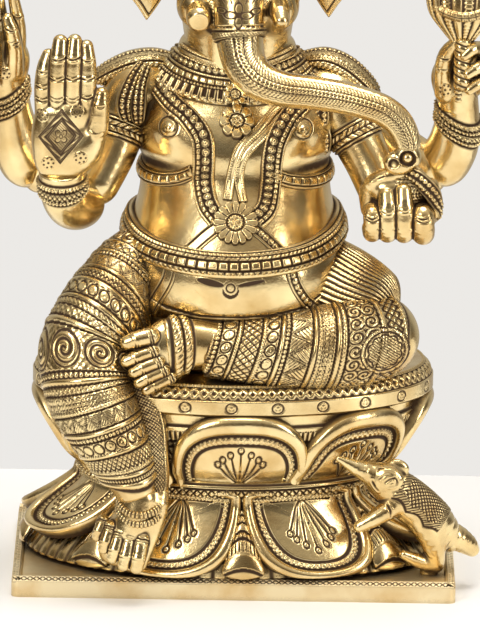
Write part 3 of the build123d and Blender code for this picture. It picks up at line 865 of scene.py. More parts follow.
def make_folded_leg():
    """The left leg, across the seat's front edge: garment bands from hem to knee, and a disc on the knee."""
    rows = [(1.4, roll, 1.2, 0), (3.4, beads, 1.6, 0.2), GAP, (7.6, studs, 1.6, 0.3), GAP, RIDGE, GAP,
            (9.5, net, 1.1, 0.2), GAP, RIDGE, (6.8, studs, 1.6, 0.2), GAP, PLAIN_RIDGE,
            (2.4, beads, 1.4, 0.2), GAP, (11.0, panels, 1.3, 0.2), GAP, PLAIN_RIDGE, RIDGE,
            (6.6, scales, 1.4, 0.3), GAP, PLAIN_RIDGE, RIDGE, GAP, (6.5, swirls, 1.2, 0.2),
            (6.5, swirls, 1.2, 0.2), GAP, PLAIN_RIDGE, (8.0, net, 0.9, 0.1), RIDGE, (14.0, flat, 0.4, 0.4)]
    stations = [(-19, -59, 134.5, 14.5, 13), (-8, -58, 134.5, 17, 15), (12, -57, 134, 19, 18),
                (38, -54, 134.5, 21, 21), (62, -48, 137, 23, 23), (78, -38, 139.5, 23, 22),
                (90, -26, 140, 20, 18)]
    shin = sweep("left_shin", stations, ringed(rows, start=1.0, slant=5.0, turned=math.pi), cap=(2.0, 17.0),
                 nodes=["left_shin"])
    decal("knee_disc", skin_of(shin), (79.5, -60, 136.5), 14.5, 14.5, knee_disc, step=0.4)

    def folds(s, around, angle):
        """Cloth folds and corded lines that run along the thigh."""
        u = around + 1.6 * np.sin(s * 0.11) + 0.06 * s
        wave = ripple(u * math.pi / 3.1)
        cord = 0.25 * (np.cos(u * TAU / 12.4) > 0.3) * ripple(s * 1.9 + u)
        return 1.1 * wave ** 1.5 - cord
    sweep("left_thigh", [(22, -2, 160, 29, 33), (40, -10, 157, 30, 31), (58, -21, 152, 29, 29),
                         (72, -30, 146, 25, 26), (82, -34, 141, 20, 21)], folds, cap=(6.0, 14.0),
          nodes=["left_thigh"])
    anklets = parted(0.6, (4.6, rope, 2.2, 0.5), (4.6, rope, 2.0, 0.5), depth=-0.3)
    sweep("left_anklets", [(-41, -66.5, 137.5, 9, 15), (-34, -65, 138, 10.5, 15),
                           (-24, -62, 138.3, 11.5, 13.8), (-12, -59, 137.5, 13.5, 13)],
          ringed([ditch(0.6, -0.3), *anklets, ditch(0.6, -0.3)], 4.5), cap=(3.0, 0.0))


def knee_disc(u, v):
    """A round boss: rope edge, scallops and slanting hatch inside."""
    r, turn = np.hypot(u, v), np.arctan2(v, u)
    height = -0.9 * mark(r - 13.2, 0.5) - 0.8 * mark(r - 10.8, 0.45)
    edge = 8.4 + 1.1 * ripple(turn * 5)
    height -= 0.7 * mark(r - edge, 0.45)
    height -= (r < edge - 0.8) * 0.5 * (0.5 + 0.5 * np.sin((u * 0.8 + v) * 3.9)) ** 2
    return height, r < 14.0


def panels(u, v):
    """Big triangles in a row, each hatched its own way, with double lines between."""
    t = 2 * np.abs(cell(u)) - 0.5
    line = np.abs(v - t)
    hatch = np.where(v > t, ripple(math.pi * 5 * (u - v)), ripple(math.pi * 5 * (u + v)))
    return np.clip(0.35 + 0.6 * hatch, 0, 1) * (1 - mark(line - 0.10, 0.035)) + 0.5 * mark(line, 0.05)


def make_hanging_leg():
    """The right leg: garment bands from the belt over the knee to a hem above the ankle."""
    rows = [(10.0, swirls, 1.0, 0.2), (10.0, swirls, 1.0, 0.2), GAP, PLAIN_RIDGE, (4.5, studs, 1.2, 0.2),
            GAP, RIDGE, (2.4, beads, 1.2, 0.2), GAP, (8.0, panels, 1.1, 0.2), PLAIN_RIDGE, GAP, RIDGE,
            (2.6, cross, 1.2, 0.2), GAP, PLAIN_RIDGE, (5.6, studs, 1.4, 0.2), GAP, PLAIN_RIDGE,
            (3.4, rope, 1.2, 0.2), GAP, (4.0, cross, 1.2, 0.2), GAP, PLAIN_RIDGE, GAP,
            (17.5, spirals, 1.3, 0.2), GAP, (2.6, beads, 1.3, 0.2), PLAIN_RIDGE, GAP, (2.6, cross, 1.2, 0.2),
            GAP, (6.0, scales, 1.3, 0.3), RIDGE, GAP, (8.0, panels, 1.2, 0.2), GAP, PLAIN_RIDGE,
            (2.4, beads, 1.2, 0.2), GAP, (6.6, studs, 1.5, 0.2), PLAIN_RIDGE, GAP, (7.0, net, 1.0, 0.2),
            RIDGE, PLAIN_RIDGE, (2.4, beads, 1.4, 0.2), (3.0, roll, 2.0, 0.3)]
    stations = [(-46, -8, 182, 17, 14), (-58, -20, 169, 24, 19.5), (-66, -32, 157.5, 28, 22.5),
                (-74, -44, 146, 28, 24.5), (-81, -54, 132, 26, 25), (-80, -64, 114, 25, 23),
                (-72, -71, 97, 23.5, 20.5), (-62, -76, 80, 20, 17), (-55, -79, 66, 14.8, 12.8),
                (-51.5, -79.5, 57, 11.8, 11.2)]
    for name, part in (("right_thigh", (0, 0.455)), ("right_shin", (0.455, 1))):
        sweep(name, stations, ringed(rows, start=1.0, slant=3.0, turned=math.pi, sag=5.0), side=(1, 0, 0),
              cap=(6.0, 3.0), part=part, nodes=[name])
    fall = [(1.6, rope, 1.3, 0.2), GAP, *[(4.0, net, 1.4, 0.1)] * 3, GAP, (1.6, rope, 1.3, 0.2)]
    sweep("shin_fold", [(-57, -52, 118, 9, 9), (-51, -60, 104, 10, 10), (-46.0, -67, 90, 10, 9.5),
                        (-44.5, -72, 78, 9, 8.5), (-43, -76, 66, 8, 7.6), (-43, -78.5, 58, 6.5, 6)],
          facing(fall, 9.5), side=(1, 0, 0), cap=(4.0, 4.0))


def spirals(u, v):
    """Large engraved spirals, one in each square."""
    x, y = cell(u), v
    r, turn = np.hypot(x, y), np.arctan2(y, x)
    wave = 0.5 + 0.5 * np.cos(turn - 34 * r)
    rim = mark(r - 0.43, 0.03)
    texture = 0.5 + 0.5 * np.sin(30 * u) * np.sin(30 * v)
    return np.clip(np.where(r < 0.4, 0.25 + 0.9 * wave, 0.3 + 0.4 * texture) * (1 - rim), 0, 1)


# ---------------------------------------------------------------- clay

def melt(a, b, blend):
    """Smooth minimum of two distances."""
    h = np.clip(0.5 + 0.5 * (b - a) / blend, 0, 1)
    return b + (a - b) * h - blend * h * (1 - h)


class Clay:
    """A body modelled from lumps that melt into each other: a grid of distances to its surface, in mm."""

    FAR = 7.0

    def __init__(self, low, high, step=0.6):
        self.low, self.step = np.array(low, float), step
        count = np.ceil((np.array(high) - self.low) / step).astype(int) + 1
        self.gap = np.full(count, self.FAR, np.float32)

    def put(self, low, high, measure, blend, cut=False):
        """Adds, or cuts away, what measure(points) is the distance to, inside a box."""
        reach = 3.0 + blend
        a = np.clip(((np.array(low) - reach - self.low) / self.step).astype(int), 0, self.gap.shape)
        b = np.clip(((np.array(high) + reach - self.low) / self.step).astype(int) + 2, 0, self.gap.shape)
        if (b <= a).any():
            return
        axes = [self.low[k] + self.step * np.arange(a[k], b[k]) for k in range(3)]
        points = np.stack(np.meshgrid(*axes, indexing="ij"), -1)
        where = tuple(slice(i, j) for i, j in zip(a, b))
        old, new = self.gap[where], measure(points)
        self.gap[where] = -melt(-old, new, blend) if cut else melt(old, new, blend)

    def chain(self, *knots, blend=1.5):
        """A round limb through knots (x, y, z, radius)."""
        line = curve_through(knots, count=3 * len(knots) - 2) if len(knots) > 2 else np.array(knots, float)
        radius = line[:, 3].max()

        def measure(points):
            best = self.FAR * 9
            for p, q in zip(line[:-1], line[1:]):
                t, far = from_segment(points, p[:3], q[:3])
                best = np.minimum(best, far - (p[3] + (q[3] - p[3]) * t))
            return best
        self.put(line[:, :3].min(0) - radius, line[:, :3].max(0) + radius, measure, blend)

    def lump(self, centre, radii, blend=2.5, cut=False, turn=None):
        """An egg; turn is a (axis, degrees) rotation."""
        centre, radii = np.array(centre, float), np.array(radii, float)
        spin = np.array(Matrix.Rotation(math.radians(turn[1]), 3, turn[0])) if turn else np.eye(3)

        def measure(points):
            local = (points - centre) @ spin
            k0 = np.linalg.norm(local / radii, axis=-1)
            k1 = np.maximum(np.linalg.norm(local / radii ** 2, axis=-1), 1e-6)
            return k0 * (k0 - 1) / k1
        reach = radii.max() if turn else radii
        self.put(centre - reach, centre + reach, measure, blend, cut)

    def disc(self, centre, radius, half_thick, blend=0.6, cut=False):
        """A round plate that faces the front, with soft edges."""
        centre, edge = np.array(centre, float), 0.8

        def measure(points):
            local = points - centre
            out = np.hypot(local[..., 0], local[..., 2]) - radius + edge
            deep = np.abs(local[..., 1]) - half_thick + edge
            outside, within = np.hypot(np.maximum(out, 0), np.maximum(deep, 0)), np.maximum(out, deep)
            return outside + np.minimum(within, 0) - edge
        self.put(centre - (radius, half_thick, radius), centre + (radius, half_thick, radius), measure,
                 blend, cut)

    def mesh(self, name, relief=None, crease=0.30, **options):
        """Turns the clay into a piece. relief(points, normals) gives each point a height and a darkness."""
        vdb = openvdb.FloatGrid(self.FAR)
        vdb.copyFromArray(self.gap)
        points, quads = vdb.convertToQuads(isovalue=0.0)
        points, quads = np.array(points, float), np.array(quads, int)
        soft = self.gap
        for axis in range(3):
            for _ in range(2):
                soft = (np.roll(soft, 2, axis) + np.roll(soft, 1, axis) + soft + np.roll(soft, -1, axis)
                        + np.roll(soft, -2, axis)) / 5
        grime = np.clip(-self.sample(soft, points) / crease, 0, 1)
        normal = unit(np.stack([self.sample(slope, points) for slope in np.gradient(self.gap)], 1))
        points = points * self.step + self.low
        a, b, c = (points[quads[:, i]] for i in (0, 1, 2))
        if (np.cross(b - a, c - a) * normal[quads[:, 0]]).sum() < 0:
            quads = quads[:, ::-1]
        if relief:
            height, dark = relief(points, normal)
            points = points + normal * height[:, None]
            grime = np.maximum(grime, np.clip(dark, 0, 1))
        return add_piece(name, points, quads, grime, **options)

    def sample(self, values, places):
        """Values of a grid between its points."""
        base = np.clip(places.astype(int), 0, np.array(values.shape) - 2)
        t = places - base
        total = 0
        for step in np.ndindex(2, 2, 2):
            total = total + np.prod(np.where(step, t, 1 - t), axis=1) * values[tuple((base + step).T)]
        return total


def nothing(points):
    return np.zeros(len(points)), np.zeros(len(points))


def from_segment(points, start, end):
    """Where along a straight segment each point is, from 0 to 1, and how far from it."""
    way = end - start
    t = np.clip((points - start) @ way / max(way @ way, 1e-9), 0, 1)
    return t, np.linalg.norm(points - start - t[..., None] * way, axis=-1)


def cut_lines(points, lines, width=0.5):
    """Height and darkness of lines cut into a surface, each line a list of (x, y, z) knots."""
    height, dark = nothing(points)
    for line in lines:
        line = curve_through(line, count=4 * len(line)) if len(line) > 2 else np.array(line, float)
        near = ((points > line.min(0) - 3) & (points < line.max(0) + 3)).all(1)
        if not near.any():
            continue
        far = np.min([from_segment(points[near], p, q)[1] for p, q in zip(line[:-1], line[1:])], axis=0)
        height[near] += 0.3 * mark(far - 2.2 * width, width) - 0.55 * mark(far, width)
        dark[near] = np.maximum(dark[near], 1.2 * mark(far, width))
    return height, dark


def engraved(lines, width=0.5):
    """Relief of a clay piece with lines cut into it."""
    return lambda points, normal: cut_lines(points, lines, width)


def decal(name, skin, middle, half_u, half_v, relief, step=0.32, right=(1, 0, 0), up=(0, 0, 1), fade=4):
    """Fine relief laid on a skin. relief(u, v) gives a height and where the patch is, from flat places in mm.

    fade is how many points in from its edge the patch rises to its full height.
    """
    right, up = unit(np.array(right, float)), unit(np.array(up, float))
    out, far, steepest = np.cross(right, up), 60.0, 0.15
    u, v = np.meshgrid(np.arange(-half_u, half_u + step, step), np.arange(-half_v, half_v + step, step))
    height, inside = relief(u, v)
    start = np.array(middle, float) + u[..., None] * right + v[..., None] * up + out * far
    base, normal = np.zeros(u.shape + (3,)), np.zeros(u.shape + (3,))
    for i, j in np.ndindex(u.shape):
        hit, face, *_ = skin.ray_cast(Vector(start[i, j]), Vector(-out))
        if hit is None or (hit - Vector(start[i, j])).length > 2 * far or face.dot(Vector(out)) < steepest:
            inside[i, j] = False
            hit, face = start[i, j] - out * far, out
        base[i, j], normal[i, j] = hit, face
    inside[0], inside[-1], inside[:, 0], inside[:, -1] = False, False, False, False
    soft, core = np.zeros(u.shape), inside.copy()
    for _ in range(fade):
        soft += core / fade
        core[1:-1, 1:-1] &= core[:-2, 1:-1] & core[2:, 1:-1] & core[1:-1, :-2] & core[1:-1, 2:]
    lift = soft * (0.15 * (height - height.min()) + 0.14) - 0.06
    raised = base + normal * np.where(inside, lift, -0.5)[..., None]
    dark = np.clip(-1.9 * height, 0, 1) * inside
    quads = grid_quads(*u.shape)
    used, quads = np.unique(quads[inside.ravel()[quads].any(1)], return_inverse=True)
    return add_piece(name, raised.reshape(-1, 3)[used], quads.reshape(-1, 4), dark.ravel()[used])


def dots(u, v):
    """A punched flower of seven dots round one."""
    depth = mark(np.hypot(u, v), 0.55)
    for turn in np.linspace(0, TAU, 7, endpoint=False):
        depth += mark(np.hypot(u - 2.7 * math.cos(turn), v - 2.7 * math.sin(turn)), 0.5)
    return -0.7 * depth, np.hypot(u, v) < 3.9


def punch_flower(name, skin, *middle):
    decal(name, skin, middle, 4.2, 4.2, dots)


# ---------------------------------------------------------------- arms and hands

CUFF = parted(0.5, (2.0, beads, 1.9, 0.4), (2.7, cross, 2.1, 0.4), (2.0, beads, 2.0, 0.4), depth=-0.2)
BANGLES = [ditch(0.6, -0.4), *CUFF, ditch(0.5, -0.2), (2.7, cross, 2.1, 0.4), ditch(0.6, -0.4)]
ARMLET = [ditch(0.7, -0.3), (1.3, roll, 1.2, 0.2), ditch(0.6, -0.1), (6.2, leaves, 1.7, 0.4),
          ditch(0.6, -0.1), (1.3, roll, 1.2, 0.2), ditch(0.7, -0.3)]


def make_arms():
    """Four arms: smooth skin, an armlet on each front arm, beaded and cut bangles at each wrist."""
    cuff = ringed([ditch(0.6, -0.4), *CUFF, ditch(0.6, -0.4)], 43)
    arms = {
        "front_right_arm": (ringed(ARMLET, 36, 1.5), [
            (-40, 8, 266, 15, 17), (-56, 3, 263, 17.5, 18.5), (-64, -3, 248, 15, 15.5),
            (-71, -12, 230, 13.5, 13), (-79, -19, 215, 13, 12.5), (-84, -22, 207, 12.5, 12)]),
        "front_left_arm": (ringed(ARMLET, 35, 1.5), [
            (35, 8, 266, 15, 17), (50, 3, 262, 16.5, 18), (59, -3, 248, 14.5, 15),
            (69, -11, 230, 13, 12.5), (77, -17, 214, 12.5, 12.5), (82, -21, 205, 12, 12)]),
        "rear_right_arm": (smooth, [
            (-30, 16, 262, 13, 13), (-50, 18, 260, 14, 14), (-72, 17, 245, 14, 13),
            (-96, 12, 226, 13.5, 12.5), (-110, 9, 217, 14, 13), (-119, 7, 215, 12.5, 12)]),
        "rear_left_arm": (smooth, [
            (26, 16, 260, 13, 13), (45, 18, 259, 14, 14), (66, 17, 245, 14, 13),
            (90, 12, 228, 13.5, 12.5), (104, 9, 220, 14, 13), (113, 7, 219, 12.5, 12)]),
    }
    forearms = {
        "front_right_forearm": (cuff, [
            (-82, -12, 209, 12, 12), (-86, -22, 207, 14.5, 14), (-90, -34, 209, 14.5, 14),
            (-93.5, -45, 215, 13.5, 13), (-95, -51, 223, 12, 12.5), (-95.5, -54, 232, 11.5, 12.5)]),
        "front_left_forearm": (ringed(BANGLES, 24), [
            (79, -12, 208, 12, 12), (82, -22, 206.5, 13.5, 13), (84, -34, 208, 13, 13),
            (85.5, -45, 211, 12, 12), (86.5, -54, 213, 12, 12)]),
        "rear_right_forearm": (ringed(BANGLES, 47, 6.0, 2.7), [
            (-107, 10, 217, 11, 11), (-115, 8, 220, 14.5, 14), (-121, 5, 233, 14.5, 14),
            (-124, 2, 249, 12.5, 11.5), (-125, -1, 262, 11, 10), (-126, -3, 271, 10, 10)]),
        "rear_left_forearm": (ringed(BANGLES, 33, 6.0, 0.43), [
            (101, 10, 221, 11, 11), (109, 8, 224, 14.5, 14), (114.5, 5, 233, 14.5, 14), (117, 2, 244, 13, 13),
            (117.5, -1, 256, 11.5, 11.5), (117, -3, 265, 10.5, 11)]),
    }
    for group, side, cap in ((arms, (0.3, 1, 0.2), (3.0, 12.0)), (forearms, (1, 0, 0), (12.0, 1.0))):
        for name, (relief, stations) in group.items():
            sweep(name, stations, relief, side=side, cap=cap, nodes=[name])


CAPE = [(2.0, beads, 1.2, 0.2), ditch(0.7, -0.2), (4.6, scales, 1.2, 0.2), ditch(0.7, -0.2),
        (3.6, rope, 1.6, 0.2), ditch(0.7, -0.2), (2.2, beads, 1.3, 0.3), ditch(0.7, -0.3),
        (3.0, roll, 1.2, 0.4)]
LEAF = parted(0.6, (0.9, roll, 0.9, 0.2), (2.4, beads, 1.2, 0.0), (2.4, beads, 1.2, 0.0),
              (0.9, roll, 0.9, 0.2), depth=-0.4)


def facing(rows, girth, front=math.pi):
    """Relief of bands that run along a limb, centred on one side of it."""
    def relief(s, around, angle):
        w = (angle - front + math.pi) % TAU - math.pi
        return bands(s, w * girth + total_width(rows) / 2, *rows)
    return relief


def make_shoulder_cloth():
    """A cape end over each rear shoulder, a leaf knot and tassels before the arms."""
    capes = {
        "right": (CAPE[::-1], [(-36, 12, 278, 4, 12), (-48, 10, 280, 5, 14), (-60, 9, 278, 5.6, 14),
                               (-71, 9, 273, 5.2, 12), (-79, 10, 268, 3.5, 9)]),
        "left": (CAPE, [(32, 12, 280, 4, 12), (45, 10, 281, 6, 14), (56, 9, 276.5, 6.8, 14),
                        (66, 9, 268, 6.2, 12), (73, 10, 260.5, 3.8, 9)]),
    }
    for name, (rows, stations) in capes.items():
        sweep(f"shoulder_cape_{name}", stations, facing(rows, 6.0, -math.pi / 2), side=(0, 1, 0),
              cap=(2.0, 4.0))
    ribs = ringed([(1.4, roll, 0.7, 0.0), ditch(0.5, -0.2)] * 12, 0.5)
    pieces = {
        "leaf_outer": (facing(LEAF, 4.4), 2.0, 4.0, [
            (-53, -7, 280, 3, 3), (-59, -13, 271, 4, 4.6), (-62.5, -16, 260, 4, 5.2),
            (-60.5, -16, 250, 3.4, 3.2)]),
        "leaf_inner": (facing(LEAF, 4.4), 2.0, 4.0, [
            (-51, -9, 279, 3, 3), (-54.5, -15, 269, 4, 4.0), (-55.5, -18, 259, 4, 4.6),
            (-55, -17, 249.5, 3.2, 2.8)]),
        "tassel_right": (ribs, 1.0, 3.0, [
            (-60, -14, 252, 2.4, 3), (-58.5, -14, 246, 2.6, 3), (-57, -12, 239, 1.6, 1.8)]),
        "tassel_left": (facing(LEAF, 3.0), 1.0, 3.0, [
            (42, -14, 266, 3, 3.4), (43, -17, 257, 3.2, 4.2), (43.5, -17, 249, 2.6, 3.0)]),
        "tassel_left_low": (facing(LEAF, 3.0), 1.0, 3.0, [
            (43.5, -15, 250, 2.6, 3.0), (44.5, -16, 242, 3.0, 4.2), (45, -14, 234, 2.2, 2.4)]),
    }
    for name, (relief, root, tip, stations) in pieces.items():
        sweep(f"shoulder_{name}", stations, relief, side=(1, 0, 0), cap=(root, tip))


def joint_lines(fingers):
    """Cut lines across the front of fingers. fingers is a list of (x, y, half_width, heights)."""
    lines = []
    for x, y, half, heights in fingers:
        for z in heights:
            lines.append([(x - half, y + 1.6, z + 0.9), (x - half * 0.5, y + 0.1, z + 0.1), (x, y, z - 0.3),
                          (x + half * 0.5, y + 0.1, z + 0.1), (x + half, y + 1.6, z + 0.9)])
    return lines


def make_blessing_hand():
    """Open palm that faces the front, fingers up, thumb to the inside, a diamond engraved in the palm."""
    clay = Clay((-116, -74, 222), (-66, -38, 312), 0.5)
    clay.lump((-95, -56, 250), (15.5, 8.2, 24))
    clay.lump((-104.5, -57, 251), (7, 7.2, 20), blend=4)
    clay.lump((-95, -55, 238), (13.5, 8.5, 12), blend=5)
    clay.lump((-83.5, -57.5, 245), (9.5, 8.2, 14), blend=4, turn=("Y", 18))
    clay.lump((-91, -58, 264), (15, 6.8, 8), blend=4)
    clay.chain((-105.0, -57, 262, 5.2), (-105.8, -58, 277, 5.0), (-104.8, -58, 288, 4.8),
               (-103.2, -57, 295, 3.8), blend=0.7)
    clay.chain((-98.3, -58, 264, 5.2), (-98.2, -60, 282, 5.0), (-97.8, -60, 293, 4.9),
               (-97, -58.5, 303, 4.0), blend=0.7)
    clay.chain((-90.2, -58, 264, 5.2), (-90.1, -60, 282, 4.9), (-89.9, -60, 293, 4.8),
               (-89.3, -58.5, 303.5, 3.9), blend=0.7)
    clay.chain((-82.4, -58, 264, 5.1), (-82.2, -59, 280, 4.9), (-82.2, -59, 291, 4.6),
               (-83, -58, 300.5, 3.7), blend=0.7)
    clay.chain((-82.5, -56, 243, 8.4), (-77.2, -58.5, 256, 6.5), (-75.6, -60, 267, 5.3),
               (-74.6, -60, 275, 3.9), blend=1.2)
    front = [(-106.2, -62.4, 3.6, (271, 278.5, 287)), (-98.3, -64.4, 4.2, (271.5, 283, 294)),
             (-90.2, -64.4, 4.0, (271.5, 283.5, 294.5)), (-82.4, -63.4, 4.0, (273, 283.5, 293.5))]
    lines = joint_lines(front) + [[(-80, -63, 255), (-77.5, -64, 253), (-74.5, -63, 254)],
                                  [(-77.5, -63.5, 269.5), (-75.2, -64.6, 268.6), (-73, -63.4, 269.5)],
                                  [(-81.5, -64, 271), (-80.5, -64.5, 262), (-82, -65, 256)]]
    hand = clay.mesh("blessing_hand", engraved(lines), nodes=["blessing_hand"])
    skin = skin_of(hand)
    decal("palm_diamond", skin, (-96, -60, 252.4), 13.5, 16.5, palm_diamond, 0.28, (1, 0, 0.04), (0.02, 0, 1))
    for k, (x, z) in enumerate(((-106.1, 263.6), (-87.6, 266.0), (-102.6, 237.6), (-85.3, 241.0))):
        punch_flower(f"palm_flower_{k + 1}", skin, x, -60, z)


def palm_diamond(u, v):
    """A diamond in two frames, corded between them, with a flower of four petals inside."""
    reach = (np.abs(u) / 12.3 + np.abs(v) / 15.3)
    edge = (1 - reach) * 9.6
    along = u * 0.62 + v * 0.78 * np.sign(u * v)
    height = np.zeros_like(u)
    for place, width, depth in ((0.3, 0.35, 0.6), (1.1, 0.3, 0.45), (3.3, 0.35, 0.75), (4.2, 0.3, 0.5)):
        height -= depth * mark(edge - place, width)
    height -= (edge > 1.4) * (edge < 3.0) * 0.35 * (0.5 + 0.5 * np.sin(along * 3.2))
    r, turn = np.hypot(u / 0.86, v), np.arctan2(v, u)
    petal_edge = 3.9 * np.abs(np.cos(2 * (turn - 0.785))) ** 0.6 + 0.4
    inner = edge > 4.5
    height -= inner * 0.55 * mark(r - petal_edge, 0.38)
    height -= inner * 0.4 * mark(r - 1.0, 0.3)
    height -= inner * (r > petal_edge + 0.5) * 0.3 * (0.5 + 0.5 * np.sin((u + v) * 4.0))
    return height, edge > -0.3


def make_offering_hand():
    """A cupped fist, palm up: four curled fingers with nails to the front, a thumb on top, a beaded sweet."""
    clay = Clay((58, -92, 192), (116, -40, 246), 0.5)
    clay.lump((86.5, -62, 212), (20, 15, 12.5))
    clay.lump((86, -57, 221), (19, 12, 15), blend=3)
    clay.lump((80, -66.5, 227.5), (11, 9.5, 8.5), blend=2)
    clay.chain((86.5, -48, 212, 11.5), (86.5, -56, 213, 12), blend=4)
    columns = [(71.4, 4.9, 220.5), (79.6, 5.1, 229.5), (88.4, 5.2, 232.0), (98.6, 6.0, 221)]
    for x, radius, top in columns:
        clay.chain((x, -60, 203.5, radius + 0.6), (x, -72, 204.0, radius + 0.2), (x, -77.0, 209, radius),
                   (x - 0.3, -76.5, (208 + top) / 2, radius),
                   (x - 0.8, -74, top - radius + 0.8, radius - 0.5), blend=0.6)
    clay.chain((71.5, -56, 214, 6.5), (70, -62, 224, 6), (73, -68, 231, 5.2), (80, -70, 235.2, 4.8),
               (86, -69, 236, 4.2), blend=1.2)
    clay.chain((103, -56, 212, 6), (103.5, -62, 220, 5.5), (102, -64, 228, 4.8), blend=2)
    lines = []
    for x, radius, top in columns:
        front = -77.5 - radius
        for z in (206.2, (206 + top) / 2 - 0.6, (206 + top) / 2 + 0.9):
            lines.append([(x - radius, front + 2.4, z + 1.2), (x, front, z - 0.6),
                          (x + radius, front + 2.4, z + 1.2)])
        nail = radius * 0.62
        lines.append([(x - nail - 0.5, front + 2.6, top + 0.5), (x - nail, front + 1.2, top - 5),
                      (x - 0.4, front + 0.6, top - 7), (x + nail - 0.6, front + 1.2, top - 5),
                      (x + nail - 0.4, front + 2.6, top + 0.5)])
    lines.append([(67.5, -66, 227), (71, -72, 232), (77, -74.5, 235.5)])
    clay.mesh("offering_hand", engraved(lines, 0.42), nodes=["offering_hand"])

    sweep("sweet_edge", [(90, -70, 237.5, 3, 3.4), (96, -73, 234.5, 3, 4.2), (101.5, -74, 228.5, 3, 4.4),
                         (105, -72, 220, 3, 3.8), (105.5, -69, 212, 2.4, 2.4)], facing(LEAF, 3.6),
          cap=(2.0, 3.0))
    turn = np.linspace(0, TAU, 190, endpoint=False)[None, :]
    tilt = np.linspace(0.01, math.pi - 0.01, 100)[:, None]
    turn, tilt = np.broadcast_arrays(turn, tilt)
    out = np.stack([np.sin(tilt) * np.cos(turn), np.sin(tilt) * np.sin(turn), np.cos(tilt)], -1)
    height = bands(turn * 13.5 * np.sin(np.clip(tilt, 0.3, 2.8)), 14.2 * tilt, *[(2.0, beads, 0.9, 0.2)] * 24)
    relief_grid("sweet", np.array((88, -62, 226)) + 13.6 * out, height, wrap=True, outward=out,
                nodes=["sweet"])


def make_rear_hands():
    clay = Clay((-148, -30, 262), (-110, 8, 324), 0.5)
    clay.chain((-126, -2, 268, 10.5), (-127, -4, 275, 11), blend=3)
    clay.lump((-127.5, -5, 281), (13, 8.5, 14), blend=3)
    clay.chain((-121, -7, 284, 4.5), (-120.7, -9, 300, 4.0), (-123.5, -11, 316.5, 3.0), blend=1.0)
    clay.chain((-129.5, -7, 286, 4.5), (-130.5, -6, 302, 4.2), (-131.5, -12, 315, 3.4), blend=0.8)
    clay.chain((-136.5, -7, 283, 4.4), (-139, -12, 294, 4.0), (-139, -20, 298, 3.8), (-135, -24, 296, 3.2),
               blend=0.8)
    clay.chain((-138, -6, 275, 4.2), (-141, -12, 284, 3.8), (-140, -20, 288, 3.6), (-136, -24, 286, 3.0),
               blend=0.8)
    clay.chain((-123, -10, 276, 5.5), (-122.5, -14, 288, 4.6), (-124, -16, 298, 4.0),
               (-126.5, -16, 306, 3.0), blend=1.0)
    lines = joint_lines([(-124.2, -20, 3.4, (290.5, 292.5, 300)), (-120.7, -13, 3.2, (306,)),
                         (-130.6, -11, 3.6, (304,))])
    hand = clay.mesh("rear_right_hand", engraved(lines, 0.45), nodes=["rear_right_hand"])
    punch_flower("rear_right_palm_flower", skin_of(hand), -128.0, -14, 275.5)

    clay = Clay((98, -30, 256), (138, 8, 306), 0.5)
    clay.chain((117, -3, 262, 11), (116.5, -4, 268, 11.5), blend=3)
    clay.lump((116, -5, 275), (13.5, 8.5, 14), blend=3)
    clay.chain((110, -10, 268, 5.8), (108.8, -13, 280, 5.0), (110.5, -15, 290, 4.5), (116, -18, 297.5, 3.6),
               blend=1.0)
    clay.chain((123, -5, 284, 4.4), (128, -12, 292, 4.2), (124.5, -21, 294.5, 3.6), (120, -23, 291, 3.0),
               blend=0.8)
    clay.chain((126, -6, 277, 4.4), (131, -13, 283, 4.0), (127, -21, 284, 3.6), (122, -23, 281, 3.0),
               blend=0.8)
    clay.chain((126, -6, 269, 4.2), (131, -13, 274, 3.8), (127.5, -20, 275, 3.4), (123, -22, 272, 2.8),
               blend=0.8)
    lines = joint_lines([(109.2, -19, 3.6, (281, 288))])
    hand = clay.mesh("rear_left_hand", engraved(lines, 0.45), nodes=["rear_left_hand"])
    punch_flower("rear_left_palm_flower", skin_of(hand), 110.0, -14, 270.5)


def make_axe():
    clay = Clay((-165, -26, 325), (-128, -10, 382), 0.6)
    clay.disc((-140, -18, 346), 19, 2.2)
    clay.disc((-119, -18, 346), 17, 4.0, cut=True)
    clay.disc((-157, -18, 346), 9.0, 4.0, cut=True, blend=0.3)
    clay.chain((-138, -18, 346, 3.6), (-130, -18, 346, 3.6))
    clay.chain((-134, -18, 360, 3.2), (-134, -18, 377, 0.8))
    clay.mesh("axe_blade")
    sweep("axe_haft", [(-134, -18, 262, 2.8, 2.8), (-134, -18, 310, 2.8, 2.8), (-134, -18, 362, 2.8, 2.8)],
          lambda s, around, angle: 0.35 * ripple(0.9 * s + angle), side=(0, 1, 0), cap=(1.5, 1.5),
          nodes=["axe"])


